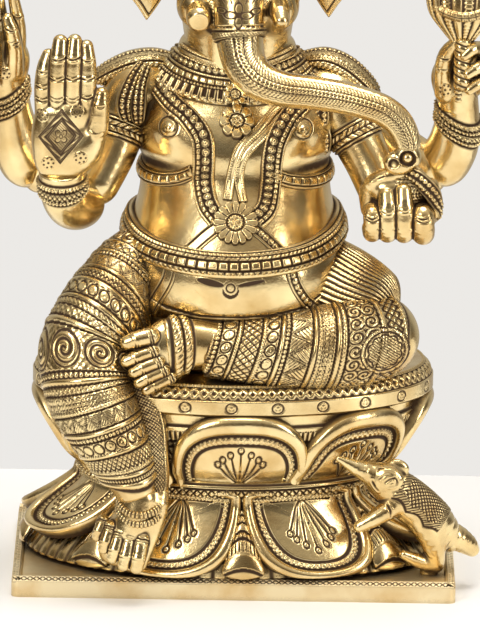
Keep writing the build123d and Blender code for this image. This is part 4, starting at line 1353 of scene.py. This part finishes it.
def make_noose():
    """Corded ring on a fan of pleats that gather in the hand; the cords' end hangs from the fist."""
    turn = np.linspace(-math.pi / 2, 1.5 * math.pi, 40)
    circle = [(119 + 17 * math.cos(a), -20, 343 + 17 * math.sin(a), 3.0, 3.0) for a in turn]
    sweep("noose_ring", circle, lambda s, around, angle: 0.5 * ripple(0.8 * s + angle), side=(0, 1, 0),
          nodes=["noose"])

    def pleats(s, around, angle):
        fold = ripple(angle * 9)
        return 1.1 * fold ** 0.6 - 0.25 * (0.5 + 0.5 * np.sin(s * 3.0)) * (np.sin(angle * 9) > 0)
    sweep("noose_fan", [(118.5, -17, 296, 3.5, 3.5), (118.5, -18, 304, 5, 10), (118.5, -20, 314, 6.5, 17),
                        (118.5, -20, 325, 5.5, 19.5)], pleats, side=(1, 0, 0), cap=(2.0, 3.0))
    sweep("noose_tie", [(103, -22, 318, 2, 2.4), (111, -26, 314.5, 2, 2.4), (119, -27, 313, 2, 2.4),
                        (127, -26, 314.5, 2, 2.4), (135, -22, 318, 2, 2.4)],
          ringed([(1.2, beads, 0.6, 0.1)] * 30, 0), cap=(1.0, 1.0))
    sweep("noose_grip", [(119, -20, 272, 4.2, 4.2), (119, -20, 300, 4.2, 4.2)],
          lambda s, around, angle: 0.6 * ripple(0.7 * s + angle), side=(0, 1, 0), cap=(2.0, 1.0))
    sweep("noose_end", [(119, -19, 286, 2.2, 2.2), (117.5, -16, 276, 2.2, 2.2), (117, -13, 263, 1.8, 1.8)],
          lambda s, around, angle: 0.6 * ripple(1.2 * s), side=(0, 1, 0), cap=(1.5, 1.5))


# ---------------------------------------------------------------- feet

def toe_lines(toes):
    """Two lines at the root and two at the joint of each toe, on its front. A toe is (root, tip, radius)."""
    lines, out = [], np.array((0.0, -1.0, 0.0))
    for root, tip, radius in toes:
        root, tip = np.array(root, float), np.array(tip, float)
        way = unit(tip - root)
        side = np.cross(way, out)
        for t, reach in ((-0.04, 1.1), (0.06, 1.1), (0.58, 1.0), (0.68, 1.0)):
            middle = root + (tip - root) * t + out * radius
            low, lower = out * radius * 0.2, out * radius * 0.9 - way * 1.6
            lines.append([middle + side * radius * reach - lower, middle + side * radius * 0.6 - low, middle,
                          middle - side * radius * 0.6 - low, middle - side * radius * reach - lower])
    return lines


def add_toes(clay, toes, lift, taper, blend):
    """Puts toes on a foot, each lifted in its middle and thinner at its tip."""
    for root, tip, radius in toes:
        bend = tuple((np.array(root) + tip) / 2 + lift)
        clay.chain((*root, radius), (*bend, radius * 1.02), (*tip, radius * taper), blend=blend)


def make_feet():
    """Bare feet. The left one lies across the other leg; the right one hangs with its toes over the plate."""
    turn = np.linspace(-math.pi / 2, 1.5 * math.pi, 40)
    for k, (z, wide) in enumerate(((51.8, 11.9), (56.8, 11.6))):
        ring = [(-51 + wide * math.cos(a), -80 + wide * math.sin(a), z + 6.5 * math.sin(a), 1.0, 1.5)
                for a in turn]
        sweep(f"right_anklet_{k + 1}", ring, lambda s, around, angle: 0.7 * ripple(math.pi * s / 2.0))
    clay = Clay((-72, -92, 106), (-20, -48, 160), 0.5)
    clay.lump((-37, -64, 136.5), (14, 10, 16.5))
    clay.lump((-46, -69, 133), (10, 8, 16), blend=4, turn=("Y", 14))
    clay.chain((-32, -62, 127, 8), (-40, -66, 122, 6), blend=3)
    toes = [((-46, -74, 145.5), (-59, -76, 142.2), 4.5), ((-45, -75, 137.6), (-59.5, -78, 132.2), 3.5),
            ((-42, -75, 131.8), (-55.5, -79, 126.6), 3.4), ((-39, -74, 126.8), (-52.6, -78, 120.6), 3.3),
            ((-35, -72, 122.4), (-48.6, -76, 115.8), 3.1)]
    add_toes(clay, toes, (0, -0.8, 0.6), 0.9, 0.7)
    clay.mesh("left_foot", engraved(toe_lines(toes), 0.42), nodes=["left_foot"])

    clay = Clay((-86, -100, 8), (-28, -56, 62), 0.5)
    clay.chain((-51, -79.5, 56, 11), (-52.5, -80.5, 48, 11.3), (-56, -81, 40, 10.8), blend=2)
    clay.lump((-58.5, -79, 36), (14.5, 8.5, 11), blend=4, turn=("Y", -16))
    clay.lump((-60, -78, 26), (13, 7, 8), blend=4)
    clay.chain((-40.5, -79, 60, 5), (-42, -81, 50, 6), (-46, -83, 36, 5.3), (-50.5, -85, 22, 4), blend=3)
    toes = [((-50.0, -87.5, 36.5), (-52.4, -91, 21.5), 4.2),
            ((-56.2, -87.5, 37.5), (-59.4, -91.2, 22.5), 3.6), ((-61.8, -87, 39.5), (-65.4, -90, 26), 3.4),
            ((-66.8, -85.5, 42.5), (-70.4, -88, 30.5), 3.2), ((-70.8, -83, 45.5), (-74, -85, 36.5), 3.0)]
    add_toes(clay, toes, (0, -0.9, 0), 0.92, 0.5)
    clay.mesh("right_foot", engraved(toe_lines(toes), 0.42), nodes=["right_foot"])


# ---------------------------------------------------------------- head

def make_head():
    """Elephant head on a short neck: twin domes, cheeks round the tusks, narrow calm eyes."""
    clay = Clay((-56, -50, 280), (52, 44, 376), 0.8)
    x = FIGURE_X
    clay.chain((x, 3, 286, 28), (x, 1, 298, 29), (x, -1, 312, 31), blend=4)
    clay.lump((x, -2, 334), (39, 33, 34), blend=5)
    clay.lump((x, -4, 352), (38, 32, 22), blend=5)
    for side in (-1, 1):
        clay.lump((x + side * 15, -20, 349), (17, 17, 17), blend=6)
        clay.lump((x + side * 21, -20, 316), (12, 14, 13), blend=5)
        clay.lump((x + side * 27, -24, 334), (9, 6, 6), blend=2.5)
        clay.lump((x + side * 25, -30, 341), (14, 5, 3.5), blend=3)
    clay.lump((x, -30, 318), (17, 13, 18), blend=5)
    head = clay.mesh("head", locks, nodes=["head"])
    skin = skin_of(head)
    for side, name in ((-1, "right"), (1, "left")):
        decal(f"{name}_eye", skin, (x + side * 26, -34, 334), 9, 6, eye, step=0.4)
        decal(f"{name}_brow_line", skin, (x + side * 22, -34, 346), 14, 5, brow, step=0.4)
    clay = Clay((-34, -54, 296), (30, -14, 332), 0.5)
    clay.chain((x - 20.5, -24, 317, 7.2), (x - 20.5, -36, 312.5, 7.2), blend=0.5)
    clay.lump((x - 20.5, -52, 306.5), (14, 12.5, 14), blend=0.5, cut=True)
    clay.mesh("right_tusk", crease=0.6, nodes=["right_tusk"])
    clay = Clay((-34, -54, 296), (36, -14, 332), 0.5)
    clay.chain((x + 20, -22, 321, 7.0), (x + 22.5, -36, 315.5, 5.6), (x + 23.5, -41, 312.5, 4.4), blend=0.5)
    clay.mesh("left_tusk", crease=0.6, nodes=["left_tusk"])
    tusk_rim = [ditch(0.5), (2.4, beads, 1.4, 0.3), ditch(0.5)]
    for side, name in ((-1, "right"), (1, "left")):
        line = [(x + side * 12, 309), (x + side * 12.5, 318), (x + side * 17, 322.5), (x + side * 24, 322.5)]
        ribbon(f"{name}_tusk_socket", skin, from_front(skin, line), tusk_rim, lift=0.4)


def locks(points, normal):
    """Combed hair that falls down the back of the head."""
    back = ease(points[:, 1], 6, 20)
    wave = ripple(14 * np.arctan2(points[:, 0] - FIGURE_X, points[:, 1] + 4))
    return 0.9 * back * wave ** 0.6, 1.1 * back * (1 - wave) ** 2


def eye(u, v):
    """Almond lids round a ring."""
    lid = 3.0 * (1 - np.clip(np.abs(u) / 7.5, 0, 1) ** 1.6)
    height = -0.9 * mark(np.abs(v) - lid, 0.5) * (np.abs(u) < 7.6)
    height -= 0.7 * mark(np.hypot(u, v) - 1.9, 0.4) * (np.abs(v) < lid)
    height -= 0.6 * mark(v - lid - 1.7, 0.45) * (np.abs(u) < 7.6)
    return height, np.hypot(u / 9, v / 6) < 1


def brow(u, v):
    arch = 1.5 - 0.018 * u ** 2
    return -0.7 * mark(v - arch, 0.5) * (np.abs(u) < 12), np.hypot(u / 14, v / 5) < 1


TRUNK = [(-2.5, -33, 330, 14, 13), (-1.8, -40, 312, 13.4, 13.2), (-1.0, -43, 301, 12.6, 12.6),
         (2.0, -50, 290.5, 11.6, 11.6), (9.5, -56, 283, 10.6, 10.8), (22, -59, 279, 9.6, 9.8),
         (37, -60, 277.6, 9.1, 9.2), (53, -62, 275.8, 8.9, 8.9), (67, -65, 273, 8.5, 8.5),
         (77, -67, 269.5, 8.3, 8.3), (84.5, -69, 263.5, 7.9, 7.9), (89, -70.5, 255, 7.2, 7.2),
         (89.8, -71, 248.5, 6.4, 6.4)]


def trunk_relief(s, around, angle):
    """Leaf cuts on each side of a dotted groove, smooth skin at the edges, a corded band at the root."""
    w = (angle + 1.5 * math.pi) % TAU - math.pi + 0.25 * ease(s, 35, 60)
    across = np.abs(w) * 10.5
    height = np.zeros_like(s)
    row = (across > 2.6) & (across < 6.8)
    hatch = ripple(math.pi * (s / 1.9 + across * 0.34))
    height -= row * 0.6 * mark(hatch, 0.30)
    for place, depth in ((2.3, 0.6), (7.0, 0.4)):
        height -= depth * mark(across - place, 0.35)
    height -= (across < 1.9) * 0.7 * (0.5 + 0.5 * np.cos(s * 2.9)) * (0.5 + 0.5 * np.cos(across * 3.0))
    scallop = np.abs(across - 7.6 - 0.8 * ripple(math.pi * s / 3.8))
    height -= 0.35 * mark(scallop, 0.3)
    height *= (s > 31) & (np.abs(w) < 1.4)
    band = [ditch(0.7, -0.4), (1.1, roll, 1.4, 0.6), ditch(0.5, 0.3), (3.2, slants, 2.0, 0.8),
            ditch(0.5, 0.3), (1.1, roll, 1.4, 0.6), ditch(0.7, -0.4)]
    return height + bands(around, s, *band, start=22.5)


def make_trunk():
    trunk = sweep("trunk", TRUNK, trunk_relief, side=(0, 1, 0), cap=(5.0, 3.0), nodes=["trunk"])
    skin = skin_of(trunk)
    decal("trunk_flower", skin, (-2, -50, 318.2), 12.5, 9.5, trunk_flower, step=0.32)
    clay = Clay((74, -88, 232), (102, -58, 262), 0.45)
    clay.lump((89.0, -72.5, 246.2), (7.8, 6.5, 7.8), blend=1)
    clay.lump((82.2, -73.5, 243.2), (5.7, 5.0, 5.7), blend=0.8)
    clay.disc((89.4, -80, 246), 4.6, 5.0, cut=True)
    clay.lump((89.4, -74, 246), (3.2, 3.2, 3.2), blend=0.5)
    clay.disc((82.0, -79.8, 243), 2.9, 4.0, cut=True)
    clay.lump((85, -72, 240), (7, 5.5, 4), blend=2)
    clay.mesh("trunk_tip")


def trunk_flower(u, v):
    """A four-petalled flower with a leaf on each side and petals above it."""
    height = np.zeros_like(u)
    for cx, cz, rx, rz in ((0, 2.6, 2.0, 2.9), (0, -4.4, 1.9, 3.1), (4.3, -1.0, 3.3, 1.8),
                           (-4.3, -1.0, 3.3, 1.8), (9.0, 0.8, 2.6, 1.5), (-9.0, 0.8, 2.6, 1.5)):
        r = np.hypot((u - cx) / rx, (v - cz) / rz)
        height -= 0.6 * mark((r - 1) * min(rx, rz), 0.33)
    height -= 0.6 * mark(np.hypot(u, v + 0.8) - 1.1, 0.3)
    for k in (-2, -1, 0, 1, 2):
        height -= (v > 4.6) * 0.5 * mark(u - k * 3.6 - 0.35 * k * (v - 5), 0.35)
    return height, (np.abs(u) < 12) & (np.abs(v) < 9)


def make_ear(name, side):
    """A broad fan with a rolled rim and veins that spread from its root; it ends in a low point."""
    outline = [(0, 30), (12, 40), (30, 38), (43, 22), (43, 4), (33, -16), (25, -27), (20.8, -33.5),
               (19.6, -33.5), (12, -23), (2, -6), (0, 30)]
    ring, along = even(curve_through([(x, z, 0) for x, z in outline], count=300), 0.6)
    ring, along = ring[:-1, :2], along[:-1]
    root, rings = np.array((6.0, 10.0)), 60
    share = np.linspace(0.02, 1, rings)
    r = np.concatenate([share, share[-2::-1]])[:, None]
    face = np.concatenate([-np.ones(rings), np.ones(rings - 1)])[:, None]
    x, z = np.moveaxis(root + (ring[None] - root) * r[..., None], -1, 0)
    thick = 2.6 * np.sqrt(np.clip(1 - r ** 10, 0, 1)) * face
    hollow = 3.0 * mark(x - 24, 14) * (r < 1)
    tilt = math.radians(-side * 14)
    px = x * side * math.cos(tilt) - thick * math.sin(tilt)
    py = x * side * math.sin(tilt) + thick * math.cos(tilt)
    points = np.stack([FIGURE_X + side * 30 + px, 4 + py - hollow, 339.5 + side * 1.5 + z], -1)
    along, inward = np.broadcast_arrays(along, (1 - r) * 26)
    height = bands(along, inward, (1.8, roll, 0.5, 0.0), ditch(0.6, -0.3))
    height -= (inward > 5.6) * 0.45 * mark(ripple(along * 0.28), 0.16) * ease(r, 0.15, 0.4)
    outward = face[..., None] * (-math.sin(tilt), math.cos(tilt), 0)
    relief_grid(name, points, height, wrap=True, outward=outward, nodes=[name])


def make_crown():
    """A tapering crown of stacked mouldings with a crest in front, and a lotus-bud finial."""
    profile = [(366, 34), (370, 35.5), (374, 36), (378, 33), (382, 34), (386, 30), (390, 31), (395, 25),
               (399, 26), (404, 18), (407, 17), (407.2, 5)]
    pearls, leaf = (2.2, beads, 1.1, 0.2), (4.4, leaves, 0.7, 0.1)
    rows = parted(0.7, (2.6, stones, 1.4, 0.2), (2.2, beads, 1.2, 0.2), (4.0, leaves, 0.9, 0.1), pearls,
                  (4.4, net, 0.7, 0.0), pearls, (4.4, slants, 0.7, 0.1), (2.4, stones, 1.1, 0.2), leaf,
                  (2.2, beads, 1.0, 0.2), (6.0, comb, 0.7, 0.1), (9.0, slants, 0.6, 0.1))
    relief = banded((1.0, roll, 0.8, 0), *rows)
    crown = oval_ring("crown", [(z, r, r) for z, r in profile], relief, FIGURE_X, nodes=["crown"])
    profile = [(406.5, 6), (407.5, 9), (412, 11.6), (417, 8), (419, 4), (424.8, 1.2), (425, 0.2)]

    def slits(along, across):
        return -0.5 * mark(cell(along / 4.1), 0.09)
    finial = oval_ring("crown_finial", [(z, r, r) for z, r in profile], slits, FIGURE_X,
                       nodes=["crown_finial"])
    for piece in (crown, finial):
        piece.location.y += 1 * MM
    skin = skin_of(crown)
    rosette("crown_crest", skin, FIGURE_X, 382, 9.5, 10, top=2.6)
    for side, name in ((-1, "right"), (1, "left")):
        rosette(f"crown_side_crest_{name}", skin, FIGURE_X + side * 20, 379, 5.5, 8, top=2.0)


# ---------------------------------------------------------------- mouse

def make_mouse():
    """Pointed snout, round ears, smooth legs and a quilted blanket with a scalloped hem."""
    clay = Clay((48, -82, 6), (128, -30, 84), 0.5)
    clay.chain((80, -60, 63.5, 9.5), (90, -57, 55, 11.5), (99, -54, 47, 11.8), (109, -50, 37, 11),
               (117, -46, 28, 7.5), blend=2)
    clay.chain((82, -60, 64, 8.6), (70, -64, 69.5, 5.6), (55.5, -67, 77.2, 1.5), blend=2)
    clay.chain((87, -63, 51, 6), (77, -67, 45, 4.8), (67.5, -69, 40, 3.2), blend=2)
    clay.chain((104, -57, 38, 8.5), (108, -56, 27, 6.5), (109, -53, 18, 5.5), blend=3)
    clay.chain((110, -51, 14, 4.0), (101, -56, 17.5, 4.2), (92, -60, 22.2, 2.6), blend=2)
    clay.chain((107, -49, 16, 5), (106, -48, 9.5, 5), blend=2)
    clay.lump((83, -68, 66.0), (8.2, 2.6, 6.6), blend=0.6, turn=("Y", 20))
    clay.lump((88, -59, 70.8), (6.2, 2.6, 4.4), blend=1.5, turn=("Y", 20))
    forward, upward = np.array((0.80, 0, -0.60)), np.array((0.60, 0, 0.80))
    middle = np.array((97.5, -55, 48.5))
    marks = [[(66.5, -70.5, 69), (68, -70.8, 71.2), (70, -70.5, 70.4), (69.5, -70.8, 68.4),
              (66.5, -70.5, 69)], [(78, -70.5, 67), (81, -71, 69.4), (85, -71, 69), (87.5, -70.5, 66),
                                   (86.5, -71, 63.5), (83, -71, 62.6)],
             [(81, -71, 65.2), (83.5, -71, 67), (86, -70.5, 67.6)],
             [(74, -68.5, 66), (75.5, -69, 62), (77, -69, 60)],
             [(82, -69, 53), (84, -70, 49.5), (84, -69, 46)],
             [(101, -61, 22.5), (103.5, -61.5, 24), (106.5, -61.5, 21.5)],]

    def blanket(points, normal):
        """A quilted, bordered cloth over the back, and the cut lines of eye, ear, mouth and paws."""
        local = points - middle
        u, v, w = local @ forward, local @ upward, local[:, 1]
        arc = np.abs(np.arctan2(np.abs(w), v)) * 12
        hem = 22.5 - 2.6 * ripple(math.pi * (u + 16) / 12.5) + 0.10 * u
        along = (u > -15) & (u < 17.5)
        on = along & (arc < hem)
        inner = on & (arc < hem - 3.6) & (u > -11) & (u < 14)
        border = on & ~inner
        lattice = net((u / 5.2), np.where(inner, arc / 5.2, 0))
        hatch = ripple(1.6 * u + 1.6 * arc)
        rim = mark(arc - hem, 0.75) * along
        height = np.where(inner, 0.15 + 0.65 * lattice, 0.0)
        height = np.where(border, 0.35 + 0.4 * hatch, height)
        dark = np.where(inner, 1.1 * (1 - lattice), 0) + 1.2 * rim
        dark = np.where(border, np.maximum(rim, 1.1 * (1 - hatch)), dark)
        cut, cut_dark = cut_lines(points, marks, width=0.6)
        return height + cut - 0.4 * rim, np.maximum(dark, cut_dark)
    clay.mesh("mouse", blanket, nodes=["mouse"])
    clay = Clay((104, -60, 10), (142, -32, 42), 0.5)
    clay.chain((112, -47, 31, 7.5), (119, -46, 29, 7.4), (126, -44, 24.5, 5.8), (129.3, -43, 21, 4.0),
               blend=1)
    clay.mesh("mouse_tail", nodes=["mouse_tail"])


# ---------------------------------------------------------------- base plate

def make_plate_stamping():
    """A raised edge along the plate's four sides, its outer slope stamped with crosses between two ridges."""
    low, high = PLATE
    rows = [(0.6, roll, 0.4, 0), (3.4, crosses, 0.5, -0.2), (0.6, roll, 0.4, 0)]
    section, across = even(np.array([(0.3, -0.3, 0), (0.9, 0.7, 0), (3.9, 2.3, 0), (4.8, 2.0, 0),
                                     (5.8, -0.2, 0)]), 0.3)
    corners = np.array([(low[0], low[1]), (high[0], low[1]), (high[0], high[1]), (low[0], high[1])])
    for name, start, end in zip(("front", "left", "back", "right"), corners, np.roll(corners, -1, 0)):
        length = np.linalg.norm(end - start)
        way = (end - start) / length
        inward = np.array((-way[1], way[0]))
        s = np.arange(0.6, length - 0.6, 0.35)
        points = np.zeros((len(section), len(s), 3))
        points[..., :2] = start + s[None, :, None] * way + section[:, None, :1] * inward
        points[..., 2] = high[2] + section[:, None, 1]
        height = bands(*np.broadcast_arrays(s, across[:, None]), *rows, start=0.2)
        relief_grid(f"plate_edge_{name}", points, height, outward=(*(-0.3 * inward), 1), material="plate")


def keep_cad_parts():
    """The plate, its screws and the figure's fixing are right as they are; they only need their metals."""
    for name in ("base_plate", "pedestal_screws", "figure_bolt", "figure_washer"):
        for spot in bpy.data.objects[name].material_slots:
            spot.material = METALS["plate" if name == "base_plate" else "steel"]


def make_figure():
    torso = make_torso()
    skin = skin_of(torso)
    decal("navel", skin, (-4.0, -60, 171.0), 20.5, 10, navel, step=0.4, fade=8)
    make_chest_ornament(skin)
    make_belt(skin)
    make_folded_leg()
    make_hanging_leg()
    make_feet()
    make_arms()
    make_shoulder_cloth()
    make_blessing_hand()
    make_offering_hand()
    make_rear_hands()
    make_axe()
    make_noose()
    make_head()
    make_trunk()
    make_ear("right_ear", -1)
    make_ear("left_ear", 1)
    make_crown()


make_pedestal()
make_plate_stamping()
make_figure()
make_mouse()
keep_cad_parts()


# ---------------------------------------------------------------- stage

def make_world():
    """A pale room to look at. The metal reflects a bright ceiling, a pale wall behind and a dim front."""
    world = bpy.data.worlds.new("studio")
    bpy.context.scene.world = world
    world.use_nodes = True
    tree = world.node_tree
    seen = tree.nodes["Background"]
    seen.inputs["Color"].default_value = (0.84, 0.82, 0.79, 1)
    place = add_node(tree, "TexCoord", {}).outputs["Generated"]
    axes = add_node(tree, "SeparateXYZ", {"Vector": place}).outputs
    shade = add_node(tree, "ValToRGB", {"Fac": axes["Z"]})
    shade.color_ramp.interpolation = "EASE"
    stops = shade.color_ramp.elements
    stops[0].position, stops[0].color = 0.0, (0.11, 0.07, 0.03, 1)
    stops[1].position, stops[1].color = 1.0, (0.85, 0.83, 0.80, 1)
    for position, level in ((0.15, 0.07), (0.35, 0.13), (0.6, 0.42)):
        stops.new(position).color = (level, level * 0.88, level * 0.72, 1)
    behind = add_node(tree, "MapRange", {"From Min": 0.1, "From Max": 0.8, "To Max": 0.6, "Value": axes["Y"]},
                      interpolation_type="SMOOTHSTEP").outputs["Result"]
    wall = add_node(tree, "Mix", {"A": shade.outputs["Color"], "B": (0.74, 0.72, 0.68, 1), "Factor": behind},
                    data_type="RGBA")
    room = add_node(tree, "Background", {"Color": wall.outputs["Result"]})
    path = add_node(tree, "LightPath", {}).outputs["Is Camera Ray"]
    mix = add_node(tree, "MixShader",
                   {"Fac": path, 1: room.outputs["Background"], 2: seen.outputs["Background"]})
    tree.links.new(mix.outputs["Shader"], tree.nodes["World Output"].inputs["Surface"])


def make_floor():
    """A plain white table top that ends a little way behind the figure."""
    paint = bpy.data.materials.new("floor_paint")
    paint.use_nodes = True
    shader = paint.node_tree.nodes["Principled BSDF"]
    shader.inputs["Base Color"].default_value = (0.90, 0.90, 0.90, 1)
    shader.inputs["Roughness"].default_value = 0.45
    mesh = bpy.data.meshes.new("floor")
    half_x, front, back, thick = 1.6, -1.8, 0.19, 0.03
    corners = ((-half_x, front), (half_x, front), (half_x, back), (-half_x, back))
    points = [(x, y, z) for z in (-thick, 0) for x, y in corners]
    mesh.from_pydata(points, [],
                     [(3, 2, 1, 0), (4, 5, 6, 7), (0, 1, 5, 4), (1, 2, 6, 5), (2, 3, 7, 6), (3, 0, 4, 7)])
    mesh.materials.append(paint)
    floor = bpy.data.objects.new("floor", mesh)
    bpy.context.scene.collection.objects.link(floor)


def lamp(name, place, power, width, depth):
    """A warm soft box that faces the figure."""
    data = bpy.data.lights.new(name, "AREA")
    data.shape = "RECTANGLE"
    data.energy, data.size, data.size_y, data.color = power, width, depth, (1.0, 0.97, 0.93)
    light = bpy.data.objects.new(name, data)
    light.location = place
    light.rotation_euler = (Vector((0, 0, 0.2)) - Vector(place)).to_track_quat("-Z", "Y").to_euler()
    bpy.context.scene.collection.objects.link(light)


def make_stage():
    make_world()
    make_floor()
    lamp("key", (-0.9, -1.3, 1.0), 13.5, 0.55, 0.9)
    lamp("side", (1.3, -0.8, 0.7), 8, 0.35, 0.9)
    lamp("top", (0.1, -0.1, 1.7), 18, 0.9, 0.7)
    bpy.context.scene.view_settings.view_transform = "Standard"


def make_camera():
    """A long lens from a good way off, a little above and tilted by a touch."""
    pitch, roll_angle, far, long_side = math.radians(14), math.radians(0.9), 5.0, 36.0
    reach = 14.3390625  # the focal length, in heights of the picture
    aim = Vector((1.3, 0, 136.7)) * MM
    back = Vector((0, -math.cos(pitch), math.sin(pitch)))
    data = bpy.data.cameras.new("camera")
    data.sensor_width = long_side
    data.lens = reach * long_side
    data.clip_end = 20
    camera = bpy.data.objects.new("camera", data)
    camera.matrix_world = Matrix.Translation(aim + back * far) @ (
        (-back).to_track_quat("-Z", "Y").to_matrix().to_4x4() @ Matrix.Rotation(roll_angle, 4, "Z"))
    bpy.context.scene.collection.objects.link(camera)
    bpy.context.scene.camera = camera


make_stage()
make_camera()
